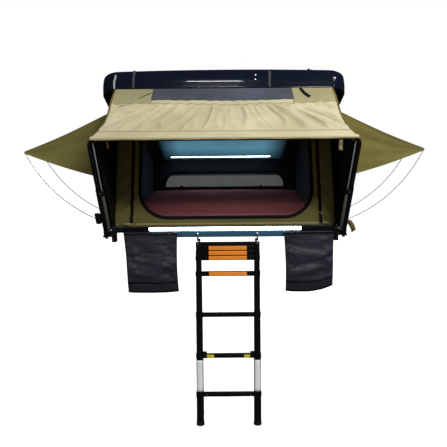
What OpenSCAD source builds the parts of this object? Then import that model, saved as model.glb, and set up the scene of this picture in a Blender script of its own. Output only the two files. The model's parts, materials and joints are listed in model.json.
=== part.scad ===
// Roof top tent with a hard lid, standing open: base tray, tilted lid on rear links,
// canvas walls, awning bow on telescopic arms, side hoods on spring rods and a telescopic ladder.
// Heights and depths named here are measured from the top front edge of the base tray.

/* [Base tray] */
// Width of the base tray
base_w = 1550; // [1500:1:1560]
// Length of the base tray, front to back
base_l = 2180; // [2150:1:2300]
// Height of the tray's edge frame
base_h = 42; // [38:1:60]
// Corner radius of the tray
base_r = 40; // [20:1:60]
// Width of the tray's edge frame
frame_w = 18; // [12:1:24]
// Thickness of the floor panel
floor_t = 22; // [16:1:28]
// Height of the mounting rails under the tray
rail_h = 30; // [24:1:50]
// Width of a mounting rail
rail_w = 45; // [36:1:70]
// Distance of the rails' ends from the tray's ends
rail_in = 140; // [20:5:400]
// Wall of a mounting rail
rail_wall = 4; // [3:0.5:6]
// Distance between the two rails' centre lines
rail_gap = 860; // [500:10:1200]
// Distance between the bolt holes along a rail
bolt_gap = 800; // [500:10:1100]
// Radius of a rack bolt hole
bolt_r = 4.25; // [3:0.05:6]

/* [Mattress] */
// Distance of the mattress from the tray's sides
mattress_side = 40; // [30:1:90]
// Distance of the mattress ahead of the tray's back
mattress_end = 112; // [90:1:300]
// Distance of the mattress behind the front edge
mattress_back = 78; // [60:1:100]
// Thickness of the mattress at its crown
mattress_t = 80; // [60:1:84]
// Drop from the crown to the sewn edge
mattress_drop = 26; // [10:1:35]
// How far the mattress sides draw in between the corners
mattress_draw = 9; // [0:1:20]

/* [Lid] */
// How far the lid stands out over each side of the tray
lid_over = 135; // [122:1:170]
// Height of the lid
lid_h = 145; // [140:1:180]
// Corner radius of the lid in plan
lid_r = 130; // [60:1:180]
// Radius of the lid's upper edge
lid_edge = 26; // [10:1:40]
// Wall of the lid
lid_wall = 5; // [3:0.5:8]
// Tilt of the open lid
lid_tilt = 22; // [20:0.5:24]
// Distance of the open lid's front rim behind the base's front edge
lid_back = 400; // [380:1:420]
// Height of the open lid's front rim
lid_up = 957; // [930:1:980]
// Distance of the closed lid's rim from the tray's front and back edges
lid_closed_back = 40; // [35:1:50]
// Gap under the closed lid's rim
lid_seat = 4; // [3:0.5:8]
// Height of the headliner's underside above the rim
liner_up = 105; // [98:1:110]
// Thickness of the headliner
liner_t = 8; // [4:1:12]
// Number of stiffening ribs above the headliner
rib_count = 3; // [2:1:5]

/* [Rear links and lid struts] */
// Distance of the link pivot ahead of the lid's back
link_in = 450; // [420:1:500]
// Height of the link pivot above the rim
link_up = 45; // [40:1:50]
// Slope of the closed link
link_closed_deg = 3; // [2:0.5:5]
// Width of a link
link_w = 34; // [28:1:40]
// Thickness of a link
link_t = 6; // [4:0.5:8]
// Radius of the link pins
link_pin_r = 6; // [4:0.5:8]
// Distance between a strut's two pivots along the closed lid
strut_reach = 740; // [720:1:780]
// Height of the struts' base pivot
strut_up = 25; // [20:1:30]
// Distance of the struts' upper pivot ahead of the link pivot
strut_in = 150; // [110:1:190]
// Height of the struts' upper pivot above the rim
strut_lid_up = 60; // [50:1:70]
// Outer radius of a strut's cylinder
strut_r = 11; // [9:0.5:13]
// Radius of a strut's rod
strut_rod_r = 5; // [4:0.5:6]
// Length of a strut's cylinder from its pivot
strut_len = 600; // [580:1:640]

/* [Awning bow] */
// Depth of the bow's pivot, ahead of the front edge
bow_ahead = 25; // [20:1:30]
// Drop of the bow's pivot below the front edge
bow_drop = 60; // [55:1:65]
// Distance of the open bow's bar ahead of the front edge
bar_ahead = 430; // [400:1:450]
// Height of the open bow's bar
bar_up = 600; // [580:1:620]
// Distance of the arms' centre lines from the tray's sides
arm_out = 38; // [36:1:40]
// Outer radius of the bow's tube
bow_tube_r = 11; // [9:0.5:12]
// Outer radius of the sleeves that the bow slides into
sleeve_r = 14; // [13:0.5:15]
// Radius of the bow's bends
bow_bend = 50; // [45:1:52]
// Length of a sleeve from the pivot
sleeve_len = 400; // [395:1:402]
// Length of the bow's legs from the bar
leg_len = 405; // [402:1:410]
// Length of the folded bow from the pivot to the bar
bow_folded = 455; // [455:1:462]
// Radius of the bow's pins
bow_pin_r = 6; // [5:0.5:7]
// Outer radius of the bow's gas springs
spring_r = 10; // [8:0.5:10]
// Radius of the gas springs' rods
spring_rod_r = 4; // [3:0.5:5]

/* [Canvas] */
// Thickness of the canvas solids
canvas_t = 3; // [2:0.5:4]
// Distance of the side walls' outer faces inside the tray's sides
wall_in = 7; // [4:1:15]
// Distance of the front wall behind the lid's front
wall_set = 22; // [18:1:30]
// Distance of the door's left edge from the tray's side
left_jamb = 185; // [155:1:275]
// Distance of the door's right edge from the tray's side
right_jamb = 168; // [155:1:275]
// Height of the door's sill along the wall
door_sill = 62; // [40:1:90]
// Height of the door's head along the wall
door_head = 900; // [800:1:930]
// Radius of the door's lower corners
door_r = 190; // [100:1:220]
// Distance of the rear wall's foot ahead of the tray's back
rear_in = 80; // [70:1:90]
// Distance of the rear wall's head ahead of the lid's back
rear_head_in = 254; // [240:1:270]
// Distance of the rear window's sides from the tray's sides
window_jamb = 145; // [95:1:375]
// Height of the rear window's sill
window_sill = 66; // [50:1:90]
// Height of the rear window's head
window_head = 222; // [180:1:260]
// Radius of the rear window's upper corners
window_r = 90; // [40:1:100]
// How far the awning stands out over the tray's sides at the lid
awning_over_lid = 55; // [20:1:75]
// How far the awning stands out over the tray's sides at the bow
awning_over_bow = 25; // [0:1:27]
// Sag of the awning in the middle
awning_sag = 22; // [0:1:30]
// Height of the awning's front hem
awning_hem = 20; // [12:1:60]

/* [Side hoods] */
// Distance of the hood tips from the tray's sides
hood_out = 663; // [525:1:725]
// Height of the hood tips
tip_up = 512; // [490:1:530]
// Depth of the front spring rods behind the front edge
rod_front_back = 250; // [200:1:300]
// Depth of the rear spring rods behind the front edge
rod_rear_back = 600; // [550:1:700]
// Drop of the hood's sewn upper edge below the lid's rim
hood_drop = 128; // [100:1:160]
// Start of the hood's upper edge along the lid
hood_from = 39; // [34:1:80]
// End of the hood's upper edge along the lid
hood_to = 634; // [560:1:700]
// Drop of the hood's front foot below the lid's rim, square to the lid
hood_foot_drop = 690; // [600:1:830]
// Depth of the hood's rear foot behind the front edge
hood_rear_back = 860; // [800:1:920]
// Height of the hood's rear foot
hood_rear_up = 300; // [240:1:360]
// Dip of the hood between the wall and its tips
hood_dip = 14; // [0:1:30]
// Radius of a spring rod
rod_r = 2.5; // [2:0.25:4]
// Slope of a spring rod where it leaves its socket
rod_rise = 16; // [8:1:24]
// Radius of a spring rod's knee
rod_knee = 60; // [40:1:90]
// Drop of the rod sockets below the front edge
socket_drop = 28; // [26:1:30]
// Length of a rod socket
socket_l = 25; // [15:1:40]
// Height of a rod socket
socket_h = 24; // [18:1:26]

/* [Ladder] */
// Offset of the ladder from the middle
ladder_x = 17; // [-40:1:40]
// Width of the ladder between the stiles' centre lines
ladder_gap = 398; // [360:1:440]
// Lean of the ladder
ladder_lean = 6; // [0:0.5:12]
// Distance of the ladder's pivot ahead of the front edge
ladder_ahead = 50; // [48:1:60]
// Drop of the ladder's pivot below the front edge
ladder_drop = 86; // [84:1:100]
// Outer radius of the thinnest stile tube
stile_r = 17; // [14:0.5:20]
// Wall of a stile tube
stile_wall = 1.2; // [1:0.1:1.2]
// Length of a stile tube below its rung
stile_len = 308; // [306:1:312]
// Distance of the first rung below the pivot
rung_first = 56; // [54:1:70]
// Distance between two stacked rungs
rung_stack = 34; // [33.5:0.5:36]
// Distance of the fourth rung below the pivot
rung_fourth = 233; // [220:1:240]
// Distance of the fifth rung below the pivot
rung_fifth = 517; // [505:1:520]
// Distance of the sixth rung below the pivot
rung_sixth = 803; // [795:1:805]
// Distance of the seventh rung below the pivot
rung_seventh = 1075; // [1060:1:1085]
// Height of a rung's end block
rung_h = 33; // [24:1:33]
// Depth of a rung
rung_d = 30; // [24:1:34]
// Length of a grip
grip_l = 260; // [180:1:300]
// Distance of the stiles' ends below the pivot
stile_end = 1270; // [1260:1:1330]
// Height of a ladder foot
foot_h = 22; // [15:1:40]

/* [Front edge] */
// Distance of the front accessory rail's ends from the tray's sides
front_rail_in = 255; // [175:5:320]
// Depth of the front accessory rail
front_rail_d = 34; // [28:1:36]
// Height of the front accessory rail
front_rail_h = 41; // [36:1:46]
// Depth of the groove under the front accessory rail
front_groove = 18; // [12:1:24]
// Wall of the front accessory rail
front_rail_wall = 4; // [3:0.5:6]
// Height of the front light
light_h = 28; // [20:1:28]
// Depth of the front light
light_d = 22; // [16:1:28]
// Distance of the front light's ends from the tray's sides
light_in = 245; // [175:5:375]
// Distance of the ceiling light's ends from the tray's sides
ceiling_light_in = 260; // [175:5:375]
// Distance of the ceiling light ahead of the lid's back
ceiling_light_back = 340; // [300:1:400]
// Width of the ceiling light
ceiling_light_w = 25; // [18:1:40]
// Thickness of the ceiling light
ceiling_light_t = 12; // [8:1:16]
// Offset of the ceiling light to the left
ceiling_light_left = 20; // [0:1:40]
// Distance of the left shoe bag from the tray's side
bag_left_in = 83; // [40:1:120]
// Width of the left shoe bag
bag_left_w = 366; // [300:1:380]
// Distance of the right shoe bag from the tray's side
bag_right_in = 33; // [32:1:80]
// Width of the right shoe bag
bag_right_w = 342; // [300:1:360]
// Height of a shoe bag
bag_h = 415; // [300:1:450]
// Depth of a shoe bag at its pocket
bag_d = 76; // [50:1:110]
// Wall of a shoe bag
bag_wall = 4; // [3:0.5:6]

/* [Hidden] */
$fn = 64;

// Running clearances
fit = 0.05;
gap = 0.3;
base_half = base_w / 2;
rail_l = base_l - 2 * rail_in;
mattress_w = base_w - 2 * mattress_side;
mattress_l = base_l - mattress_back - mattress_end;
lid_w = base_w + 2 * lid_over;
lid_l = base_l - 2 * lid_closed_back;
wall_x = base_half - wall_in;
rear_foot = base_l - rear_in;
rear_head_along = lid_l - rear_head_in;
door_left = base_half - left_jamb;
door_right = base_half - right_jamb;
window_half = base_half - window_jamb;
window_cut = 2 * window_head;
awning_half_lid = base_half + awning_over_lid;
awning_half_bow = base_half + awning_over_bow;

// Depth and height of a point on the open lid, along and above its rim
function lid_pt(s, h) = [lid_back + s * cos(lid_tilt) + h * sin(lid_tilt),
                         lid_up - s * sin(lid_tilt) + h * cos(lid_tilt)];
function slope_of(v) = atan2(v[1], v[0]);

// Height of the front wall's foot, measured square to the lid
wall_foot = -(lid_up - 1 - (wall_set + canvas_t) * sin(lid_tilt)) / cos(lid_tilt);

// Rear links: pivots open and closed, and the base pivot that serves both
link_along = lid_l - link_in;
link_open = lid_pt(link_along, link_up);
link_closed = [lid_closed_back + link_along, lid_seat + link_up];
link_move = link_open - link_closed;
link_open_deg = 2 * atan2(link_move[0], link_move[1]) - link_closed_deg;
link_len = norm(link_move) / (2 * sin((link_open_deg - link_closed_deg) / 2));
link_base = link_closed + link_len * [cos(link_closed_deg), -sin(link_closed_deg)];
link_x = base_half + 25;
link_block = 22;

// Lid struts
strut_along = link_along - strut_in;
strut_back = lid_closed_back + strut_along - strut_reach;
strut_base = [strut_back, strut_up];
strut_open = lid_pt(strut_along, strut_lid_up) - strut_base;
strut_closed = [lid_closed_back + strut_along, lid_seat + strut_lid_up] - strut_base;
strut_open_len = norm(strut_open);
strut_stroke = strut_open_len - norm(strut_closed);
strut_x = base_half + 65;
strut_eye_w = 16;
strut_block = 16;
strut_pin_r = 5;
strut_wall = 3;

// Awning bow
arm_x = base_half + arm_out;
bow_pivot = [-bow_ahead, -bow_drop];
bow_open = [-bar_ahead, bar_up] - bow_pivot;
bow_len = norm(bow_open);
bow_deg = slope_of(bow_open);
bow_stroke = bow_len - bow_folded;
spring_x = arm_x - sleeve_r - spring_r - 2;
eye_w = 16;
collar_h = 36;
collar_from = sleeve_len - 7 - collar_h;
neck_from = 14;
flange_x = base_half - base_r - 25;
flange_t = 8;
neck_to = 50;
neck_d = 24;
spring_rod_end = neck_to + bow_stroke + 3;
spring_rod_top = bow_len - bow_bend
  + sqrt(pow(bow_bend - bow_tube_r, 2) - pow(spring_x + spring_rod_r - (arm_x - bow_bend), 2)) - gap;

// Spring rods of the hoods
rod_back = [rod_front_back, rod_rear_back];
tip_x = base_half + hood_out;
rod_mouth = base_half + socket_l;
rod_tip_in = 8;
rod_tip_down = 16;
rod_knee_end = [rod_mouth + rod_knee * sin(rod_rise), rod_knee * (1 - cos(rod_rise))];
rod_chord = [tip_x - rod_tip_in, tip_up - rod_tip_down + socket_drop] - rod_knee_end;
rod_half_turn = slope_of(rod_chord) - rod_rise;
rod_bow_r = norm(rod_chord) / (2 * sin(rod_half_turn));

// Ladder
rung_at = [rung_first, rung_first + rung_stack, rung_first + 2 * rung_stack,
           rung_fourth, rung_fifth, rung_sixth, rung_seventh];
// Number of rungs with coloured grips, from the top
grip_count = 4;
function stile_radius(k) = stile_r + (k - 1) * (stile_wall + gap);
function rung_place(k) = rung_at[k - 1];
collar_lip = 2.5;
core_d = 24;
core_h = 22;
grip_h = 28;
head_from = 14;
head_to = rung_at[0] - rung_h / 2 + 1;
lug_w = 12;
lug_r = 14;
ladder_pin_r = 5;
hanger_t = 10;

// Front edge
front_rail_l = base_w - 2 * front_rail_in;
light_l = base_w - 2 * light_in;
ceiling_light_l = base_w - 2 * ceiling_light_in;
bag_top = -light_h - 5;
bag_back = -front_rail_d - gap;

canvas_color = [0.45, 0.42, 0.22];
awning_color = [0.76, 0.71, 0.52];
black = [0.07, 0.07, 0.08];

// Places the children so that heights and depths start at the tray's top front edge
module at_front() translate([0, -base_l / 2, rail_h + base_h]) children();
// Places the children on the open lid: y runs along the lid, z up from its rim
module on_lid() at_front() translate([0, lid_back, lid_up]) rotate([-lid_tilt, 0, 0]) children();
// Places the children along a line in the side plane: z runs along the line
module along(p, deg) at_front() translate([0, p[0], p[1]]) rotate([deg - 90, 0, 0]) children();
// Places the children on the ladder: z runs up, zero at the pivot
module on_ladder()
  at_front() translate([ladder_x, -ladder_ahead, -ladder_drop]) rotate([-ladder_lean, 0, 0]) children();
// Outline drawn in the side plane, extruded from x0 to x1
module side_slab(x0, x1) at_front() translate([x0, 0, 0]) rotate([90, 0, 90]) linear_extrude(x1 - x0) children();
// Cylinder along x from x0 to x1
module cross_pin(x0, x1, r) translate([min(x0, x1), 0, 0]) rotate([0, 90, 0]) cylinder(r = r, h = abs(x1 - x0));
// Box from corner to corner
module block(a, b) translate(a) cube(b - a);

module rounded_plate(w, l, r) {
  square([w - 2 * r, l], center = true);
  square([w, l - 2 * r], center = true);
  for (sx = [-1, 1], sy = [-1, 1]) translate([sx * (w / 2 - r), sy * (l / 2 - r)]) circle(r = r);
}

// Closed solid between two grids of points, each a list of rows
module sheet(front, back) {
  rows = len(front);
  cols = len(front[0]);
  n = rows * cols;
  points = concat([for (row = front, p = row) p], [for (row = back, p = row) p]);
  cells = [for (i = [0 : rows - 2], j = [0 : cols - 2]) [i * cols + j, i * cols + j + 1]];
  skin = [for (c = cells) each [[c[0], c[0] + cols, c[1]], [c[1], c[0] + cols, c[1] + cols]]];
  lining = [for (f = skin) [f[0] + n, f[2] + n, f[1] + n]];
  rim = concat([for (j = [0 : cols - 1]) j],
               [for (i = [1 : rows - 1]) i * cols + cols - 1],
               [for (j = [cols - 2 : -1 : 0]) (rows - 1) * cols + j],
               [for (i = [rows - 2 : -1 : 1]) i * cols]);
  edge = [for (i = [0 : len(rim) - 1]) let (a = rim[i], b = rim[(i + 1) % len(rim)])
          each [[a, b, a + n], [b, b + n, a + n]]];
  polyhedron(points, concat(skin, lining, edge));
}

module mounting_rails() color("silver")
  for (side = [-1, 1]) translate([side * rail_gap / 2, 0, 0])
    difference() {
      block([-rail_w / 2, -rail_l / 2, 0], [rail_w / 2, rail_l / 2, rail_h]);
      block([rail_wall - rail_w / 2, -rail_l, rail_wall], [rail_w / 2 - rail_wall, rail_l, rail_h + 1]);
      for (end = [-1, 1]) translate([0, end * bolt_gap / 2, -1]) cylinder(r = bolt_r, h = rail_wall + 2);
    }

module base_frame() color(black)
  translate([0, 0, rail_h]) linear_extrude(base_h)
    difference() {
      rounded_plate(base_w, base_l, base_r);
      rounded_plate(base_w - 2 * frame_w, base_l - 2 * frame_w, base_r - frame_w);
    }

module floor_panel() color("dimgray")
  translate([0, 0, rail_h]) linear_extrude(floor_t)
    rounded_plate(base_w - 2 * frame_w - 2 * gap, base_l - 2 * frame_w - 2 * gap, base_r - frame_w);

// Crowned pad: a grid over the plan, with a flat underside
module mattress() {
  cols = 20;
  rows = 26;
  function swell(t) = 1 - pow(abs(2 * t - 1), 10);
  function draw_in(t) = mattress_draw * (1 - pow(2 * t - 1, 4));
  function plan(u, v) = [(2 * u - 1) * (mattress_w / 2 - draw_in(v)),
                         mattress_l * v + (1 - 2 * v) * draw_in(u)];
  function height(u, v) = mattress_t - mattress_drop + mattress_drop * swell(u) * swell(v);
  top = [for (i = [0 : rows]) [for (j = [0 : cols])
         let (p = plan(j / cols, i / rows)) [p[0], p[1], height(j / cols, i / rows)]]];
  under = [for (i = [0 : rows]) [for (j = [0 : cols])
           let (p = plan(j / cols, i / rows)) [p[0] * 0.995, p[1], 0]]];
  color([0.24, 0.1, 0.12]) at_front() translate([0, mattress_back, floor_t - base_h]) sheet(top, under);
}

// Brackets on the tray's sides for the rear links and the lid struts
module side_brackets() color(black)
  for (side = [-1, 1]) {
    at_front() translate([0, link_base[0], link_base[1]]) {
      block([min(side * base_half, side * (link_x - gap)), -link_block, -link_block - link_base[1]],
            [max(side * base_half, side * (link_x - gap)), link_block, link_block]);
      cross_pin(side * (link_x - 2), side * (link_x + link_t + 6), link_pin_r);
    }
    at_front() translate([0, strut_base[0], strut_base[1]]) {
      block([min(side * base_half, side * (strut_x - 14)), -strut_block, -strut_block - strut_up],
            [max(side * base_half, side * (strut_x - 14)), strut_block, strut_block]);
      cross_pin(side * (strut_x - 16), side * (strut_x + 16), strut_pin_r);
    }
  }

// Brackets on the tray's front corners, each with the bow's pin and its washer
module bow_brackets() color(black)
  for (side = [-1, 1]) at_front() {
    block([min(side * (base_half - 30), side * (base_half - 1)), -bow_ahead - 23, -bow_drop - 38],
          [max(side * (base_half - 30), side * (base_half - 1)), 0, -4]);
    block([min(side * flange_x, side * (base_half - 1)), -flange_t, 4 - base_h],
          [max(side * flange_x, side * (base_half - 1)), 0, -4]);
    translate([0, bow_pivot[0], bow_pivot[1]]) {
      cross_pin(side * (base_half - 2), side * (arm_x + sleeve_r + 8), bow_pin_r);
      cross_pin(side * (arm_x + sleeve_r + 2), side * (arm_x + sleeve_r + 8), bow_pin_r + 5);
    }
  }

module rod_sockets() color(black)
  for (side = [-1, 1], back = rod_back) at_front() translate([0, back, -socket_drop])
    difference() {
      block([min(side * base_half, side * (base_half + socket_l)), -12, -socket_h / 2],
            [max(side * base_half, side * (base_half + socket_l)), 12, socket_h / 2]);
      cross_pin(side * (base_half + 2), side * (base_half + socket_l + 1), rod_r + fit);
    }

module front_rail() {
  rail_foot = -light_h - 1 - front_rail_h;
  color(black) at_front() difference() {
    block([-front_rail_l / 2, -front_rail_d, rail_foot], [front_rail_l / 2, 0, rail_foot + front_rail_h]);
    block([-front_rail_l, front_rail_wall - front_rail_d, rail_foot - 1],
          [front_rail_l, -front_rail_wall, rail_foot + front_groove]);
  }
}

module front_light() color("white")
  at_front() block([-light_l / 2, -light_d, -light_h], [light_l / 2, 0, 0]);

// Hanging pocket, open at the top, with a fuller lower part
module shoe_bag(left, width) {
  outer = [[0, 0], [0, -bag_h], [-bag_d * 0.8, -bag_h], [-bag_d, -bag_h * 0.9],
           [-bag_d, -bag_h * 0.6], [-bag_d * 0.55, -bag_h * 0.08], [-bag_d * 0.5, 0]];
  inner = [[-bag_wall, 1], [-bag_wall, bag_wall - bag_h], [bag_wall - bag_d, bag_wall * 2 - bag_h * 0.9],
           [bag_wall - bag_d, -bag_h * 0.6], [bag_wall - bag_d * 0.55, -bag_h * 0.08],
           [bag_wall - bag_d * 0.5, 1]];
  color([0.1, 0.1, 0.13]) difference() {
    side_slab(left, left + width) translate([bag_back, bag_top]) polygon(outer);
    side_slab(left + bag_wall, left + width - bag_wall) translate([bag_back, bag_top]) polygon(inner);
  }
}
module shoe_bag_left() shoe_bag(bag_left_in - base_half, bag_left_w);
module shoe_bag_right() shoe_bag(base_half - bag_right_in - bag_right_w, bag_right_w);

// Hangers on the front rail, each with the ladder's pin
module ladder_brackets() color("silver")
  for (side = [-1, 1]) at_front() translate([ladder_x, -ladder_ahead, -ladder_drop]) {
    inner_x = side * ladder_gap / 2;
    outer_x = side * (ladder_gap / 2 + hanger_t);
    block([min(inner_x, outer_x), -9, 0], [max(inner_x, outer_x), ladder_ahead - front_rail_d, ladder_drop - 40]);
    cross_pin(inner_x, outer_x, 9);
    cross_pin(side * (ladder_gap / 2 - lug_w - 2), side * (ladder_gap / 2 + 2), ladder_pin_r);
  }

// Front wall, square to the lid, with the door cut out
module front_wall() color(canvas_color)
  on_lid() translate([0, wall_set + canvas_t, 0]) rotate([90, 0, 0]) linear_extrude(canvas_t)
    difference() {
      translate([gap + canvas_t - wall_x, wall_foot])
        square([2 * (wall_x - canvas_t - gap), liner_up - gap - wall_foot]);
      translate([-door_left, wall_foot + door_sill + door_r])
        square([door_left + door_right, door_head - door_sill - door_r]);
      translate([door_r - door_left, wall_foot + door_sill]) square([door_left + door_right - 2 * door_r, door_r + 1]);
      translate([door_r - door_left, wall_foot + door_sill + door_r]) circle(r = door_r);
      translate([door_right - door_r, wall_foot + door_sill + door_r]) circle(r = door_r);
    }

// Rear wall, with the window cut out, and the window that fills it
module rear_slab(half) side_slab(-half, half)
  polygon([[rear_foot, gap], lid_pt(rear_head_along, liner_up - gap - 2),
           lid_pt(rear_head_along - canvas_t, liner_up - gap - 2), [rear_foot - canvas_t, gap]]);
module window_prism(less) at_front() translate([0, rear_foot + window_cut, 0]) rotate([90, 0, 0])
  linear_extrude(2 * window_cut) {
  half = window_half - less;
  r = window_r - less;
  translate([-half, window_sill + less]) square([2 * half, window_head - window_sill - 2 * less - r]);
  translate([r - half, window_sill + less]) square([2 * (half - r), window_head - window_sill - 2 * less]);
  for (side = [-1, 1]) translate([side * (half - r), window_head - less - r]) circle(r = r);
}
module rear_wall() color(canvas_color) difference() {
  rear_slab(wall_x - canvas_t - gap);
  window_prism(0);
}
module rear_window() color("gray") intersection() {
  rear_slab(wall_x - canvas_t - gap);
  window_prism(gap);
}

module side_wall(side) color(canvas_color)
  side_slab(side > 0 ? wall_x - canvas_t : -wall_x, side > 0 ? wall_x : canvas_t - wall_x)
    polygon([[lid_pt(wall_set, wall_foot)[0], gap], lid_pt(wall_set, liner_up - gap),
             lid_pt(rear_head_along, liner_up - gap), [rear_foot, gap]]);
module side_wall_left() side_wall(-1);
module side_wall_right() side_wall(1);

// Side hood: one sheet that runs over the front gusset, the roof and the rear gusset
module hood(side) {
  wall_line = [lid_pt(hood_from + 17, -hood_foot_drop), lid_pt(hood_from, -hood_drop),
               lid_pt(hood_to, -hood_drop), [hood_rear_back, hood_rear_up]];
  tip_line = [[rod_back[0] - 6, tip_up - 12], [rod_back[0], tip_up], [rod_back[1], tip_up - 10],
              [rod_back[1] + 6, tip_up - 22]];
  steps = 8;
  cols = 10;
  inside = [side * (wall_x + hood_out / 4), (rod_back[0] + rod_back[1]) / 2, tip_up - 32];
  function run(line, t) = let (k = min(floor(t), 2), f = t - k) line[k] * (1 - f) + line[k + 1] * f;
  function skin_pt(t, v) = let (w = run(wall_line, t), o = run(tip_line, t), dip = hood_dip * sin(180 * v))
    [side * (wall_x + gap + (tip_x - wall_x) * v), w[0] * (1 - v) + o[0] * v, w[1] * (1 - v) + o[1] * v - dip];
  function lining_pt(p) = let (d = inside - p) [p[0], p[1], p[2]] + canvas_t * [0, d[1], d[2]] / norm([0, d[1], d[2]]);
  skin = [for (i = [0 : 3 * steps]) [for (j = [0 : cols])
          skin_pt(i / steps, (side > 0 ? j : cols - j) / cols)]];
  lining = [for (row = skin) [for (p = row) lining_pt(p)]];
  color(canvas_color) at_front() sheet(skin, lining);
}
module hood_left() hood(-1);
module hood_right() hood(1);

// Panel between the bow's arm and the front wall
module awning_side(side) color(canvas_color)
  side_slab(side > 0 ? wall_x + gap : -wall_x - gap - canvas_t, side > 0 ? wall_x + gap + canvas_t : -wall_x - gap)
    polygon([[6, 2], [lid_pt(wall_set + 4, wall_foot)[0], 2], lid_pt(wall_set + 4, -18), [25 - bar_ahead, bar_up - 25]]);
module awning_side_left() awning_side(-1);
module awning_side_right() awning_side(1);

// Awning: one sheet from the lid's rim over the bow's bar, with its hem in front of the bar
module awning() {
  start = lid_pt(2, -gap);
  over = [-bar_ahead - 2, bar_up + bow_tube_r + canvas_t + 1];
  front = [-bar_ahead - bow_tube_r - canvas_t - 3, over[1] - 3];
  slope_rows = 14;
  cols = 32;
  function fold(u, v) = 5 * sin(180 * v) * sin(900 * (u + 0.35 * v)) * abs(u);
  function at(u, v) = let (p = start * (1 - v) + over * v,
                           half = awning_half_lid * (1 - v) + awning_half_bow * v)
    [u * half, p[0], p[1] - awning_sag * sin(180 * v) * (1 - 0.5 * u * u) + fold(u, v)];
  spread = [for (j = [0 : cols]) 2 * j / cols - 1];
  roof = [for (i = [0 : slope_rows]) [for (u = spread) at(-u, i / slope_rows)]];
  hem = [for (drop = [0, awning_hem / 2, awning_hem]) [for (u = spread)
         [-u * awning_half_bow, front[0], front[1] - drop]]];
  skin = concat(roof, hem);
  lining = [for (row = skin) [for (p = row) p + canvas_t * [0, 0.6, -0.8]]];
  color(awning_color) at_front() sheet(skin, lining);
}

// Lid: a shallow shell with rounded corners and a rounded upper edge
module lid_solid(less, top) hull() {
  linear_extrude(1) rounded_plate(lid_w - 2 * less, lid_l - 2 * less, lid_r - less, $fn = 32);
  for (k = [0 : 4]) translate([0, 0, top - lid_edge * (1 - sin(22.5 * k)) - 1]) linear_extrude(1)
    rounded_plate(lid_w - 2 * less - 2 * lid_edge * (1 - cos(22.5 * k)),
                  lid_l - 2 * less - 2 * lid_edge * (1 - cos(22.5 * k)),
                  lid_r - less - lid_edge * (1 - cos(22.5 * k)), $fn = 32);
}
module lid_shell() color([0.05, 0.06, 0.1])
  on_lid() translate([0, lid_l / 2, 0]) difference() {
    lid_solid(0, lid_h);
    translate([0, 0, -1.5]) lid_solid(lid_wall, lid_h - lid_wall + 1.5);
  }

module headliner() color("dimgray")
  on_lid() block([-wall_x - 4, wall_set - 4, liner_up], [wall_x + 4, rear_head_along + 6, liner_up + liner_t]);

module lid_ribs() color("silver")
  on_lid() for (k = [1 : rib_count]) translate([0, rear_head_along * k / (rib_count + 1), liner_up + liner_t])
    block([-wall_x + 20, -18, 0], [wall_x - 20, 18, lid_h - lid_wall - liner_up - liner_t]);

// Brackets inside the lid's sides that carry the links' upper pins
module lid_link_brackets() color(black)
  for (side = [-1, 1]) on_lid() translate([0, link_along, link_up]) {
    block([min(side * (link_x + link_t + gap), side * (lid_w / 2 - lid_wall - gap)), -link_block, -link_block],
          [max(side * (link_x + link_t + gap), side * (lid_w / 2 - lid_wall - gap)), link_block, link_block]);
    cross_pin(side * (link_x - 3), side * (link_x + link_t + 2), link_pin_r);
  }

// Studs inside the lid's sides that the struts push against
module lid_strut_brackets() color(black)
  for (side = [-1, 1]) on_lid() translate([0, strut_along, strut_lid_up])
    block([min(side * (strut_x + strut_eye_w / 2 + 4), side * (lid_w / 2 - lid_wall - gap)),
           -strut_block, -strut_block],
          [max(side * (strut_x + strut_eye_w / 2 + 4), side * (lid_w / 2 - lid_wall - gap)),
           strut_block, strut_block]);

module ceiling_light() color("white")
  on_lid() translate([-ceiling_light_left, lid_l - ceiling_light_back, liner_up])
    block([-ceiling_light_l / 2, -ceiling_light_w, -ceiling_light_t], [ceiling_light_l / 2, 0, 0]);

// Flat link between the tray's bracket and the lid's bracket
module rear_link(side) color(black) {
  x0 = min(side * link_x, side * (link_x + link_t));
  along(link_base, 180 - link_open_deg) difference() {
    union() {
      block([x0, -link_w / 2, 0], [x0 + link_t, link_w / 2, link_len]);
      for (end = [0, link_len]) translate([0, 0, end]) cross_pin(x0, x0 + link_t, link_w / 2);
    }
    for (end = [0, link_len]) translate([0, 0, end]) cross_pin(x0 - 1, x0 + link_t + 1, link_pin_r + fit);
  }
}
module rear_link_left() rear_link(-1);
module rear_link_right() rear_link(1);

// Gas strut of the lid: cylinder with its eye, and rod with its end
module strut_cylinder(side) color(black)
  along(strut_base, slope_of(strut_open)) translate([side * strut_x, 0, 0]) difference() {
    union() {
      cross_pin(-strut_eye_w / 2, strut_eye_w / 2, strut_r);
      cylinder(r = strut_r, h = strut_len);
    }
    block([-strut_r - 1, -strut_r - 1, -strut_r - 1], [-strut_eye_w / 2, strut_r + 1, strut_r]);
    block([strut_eye_w / 2, -strut_r - 1, -strut_r - 1], [strut_r + 1, strut_r + 1, strut_r]);
    cross_pin(-strut_r - 1, strut_r + 1, strut_pin_r + fit);
    translate([0, 0, strut_r + 10]) cylinder(r = strut_r - strut_wall, h = strut_len - strut_r - 20);
    translate([0, 0, strut_r + 10]) cylinder(r = strut_rod_r + gap, h = strut_len);
  }
module strut_cylinder_left() strut_cylinder(-1);
module strut_cylinder_right() strut_cylinder(1);
module strut_rod(side) color("silver")
  along(strut_base, slope_of(strut_open)) translate([side * strut_x, 0, 0]) {
    inner = strut_len - 30;
    translate([0, 0, inner]) cylinder(r = strut_rod_r, h = strut_open_len - inner);
    translate([0, 0, strut_open_len]) cross_pin(-strut_eye_w / 2, strut_eye_w / 2, strut_r);
  }
module strut_rod_left() strut_rod(-1);
module strut_rod_right() strut_rod(1);

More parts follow.
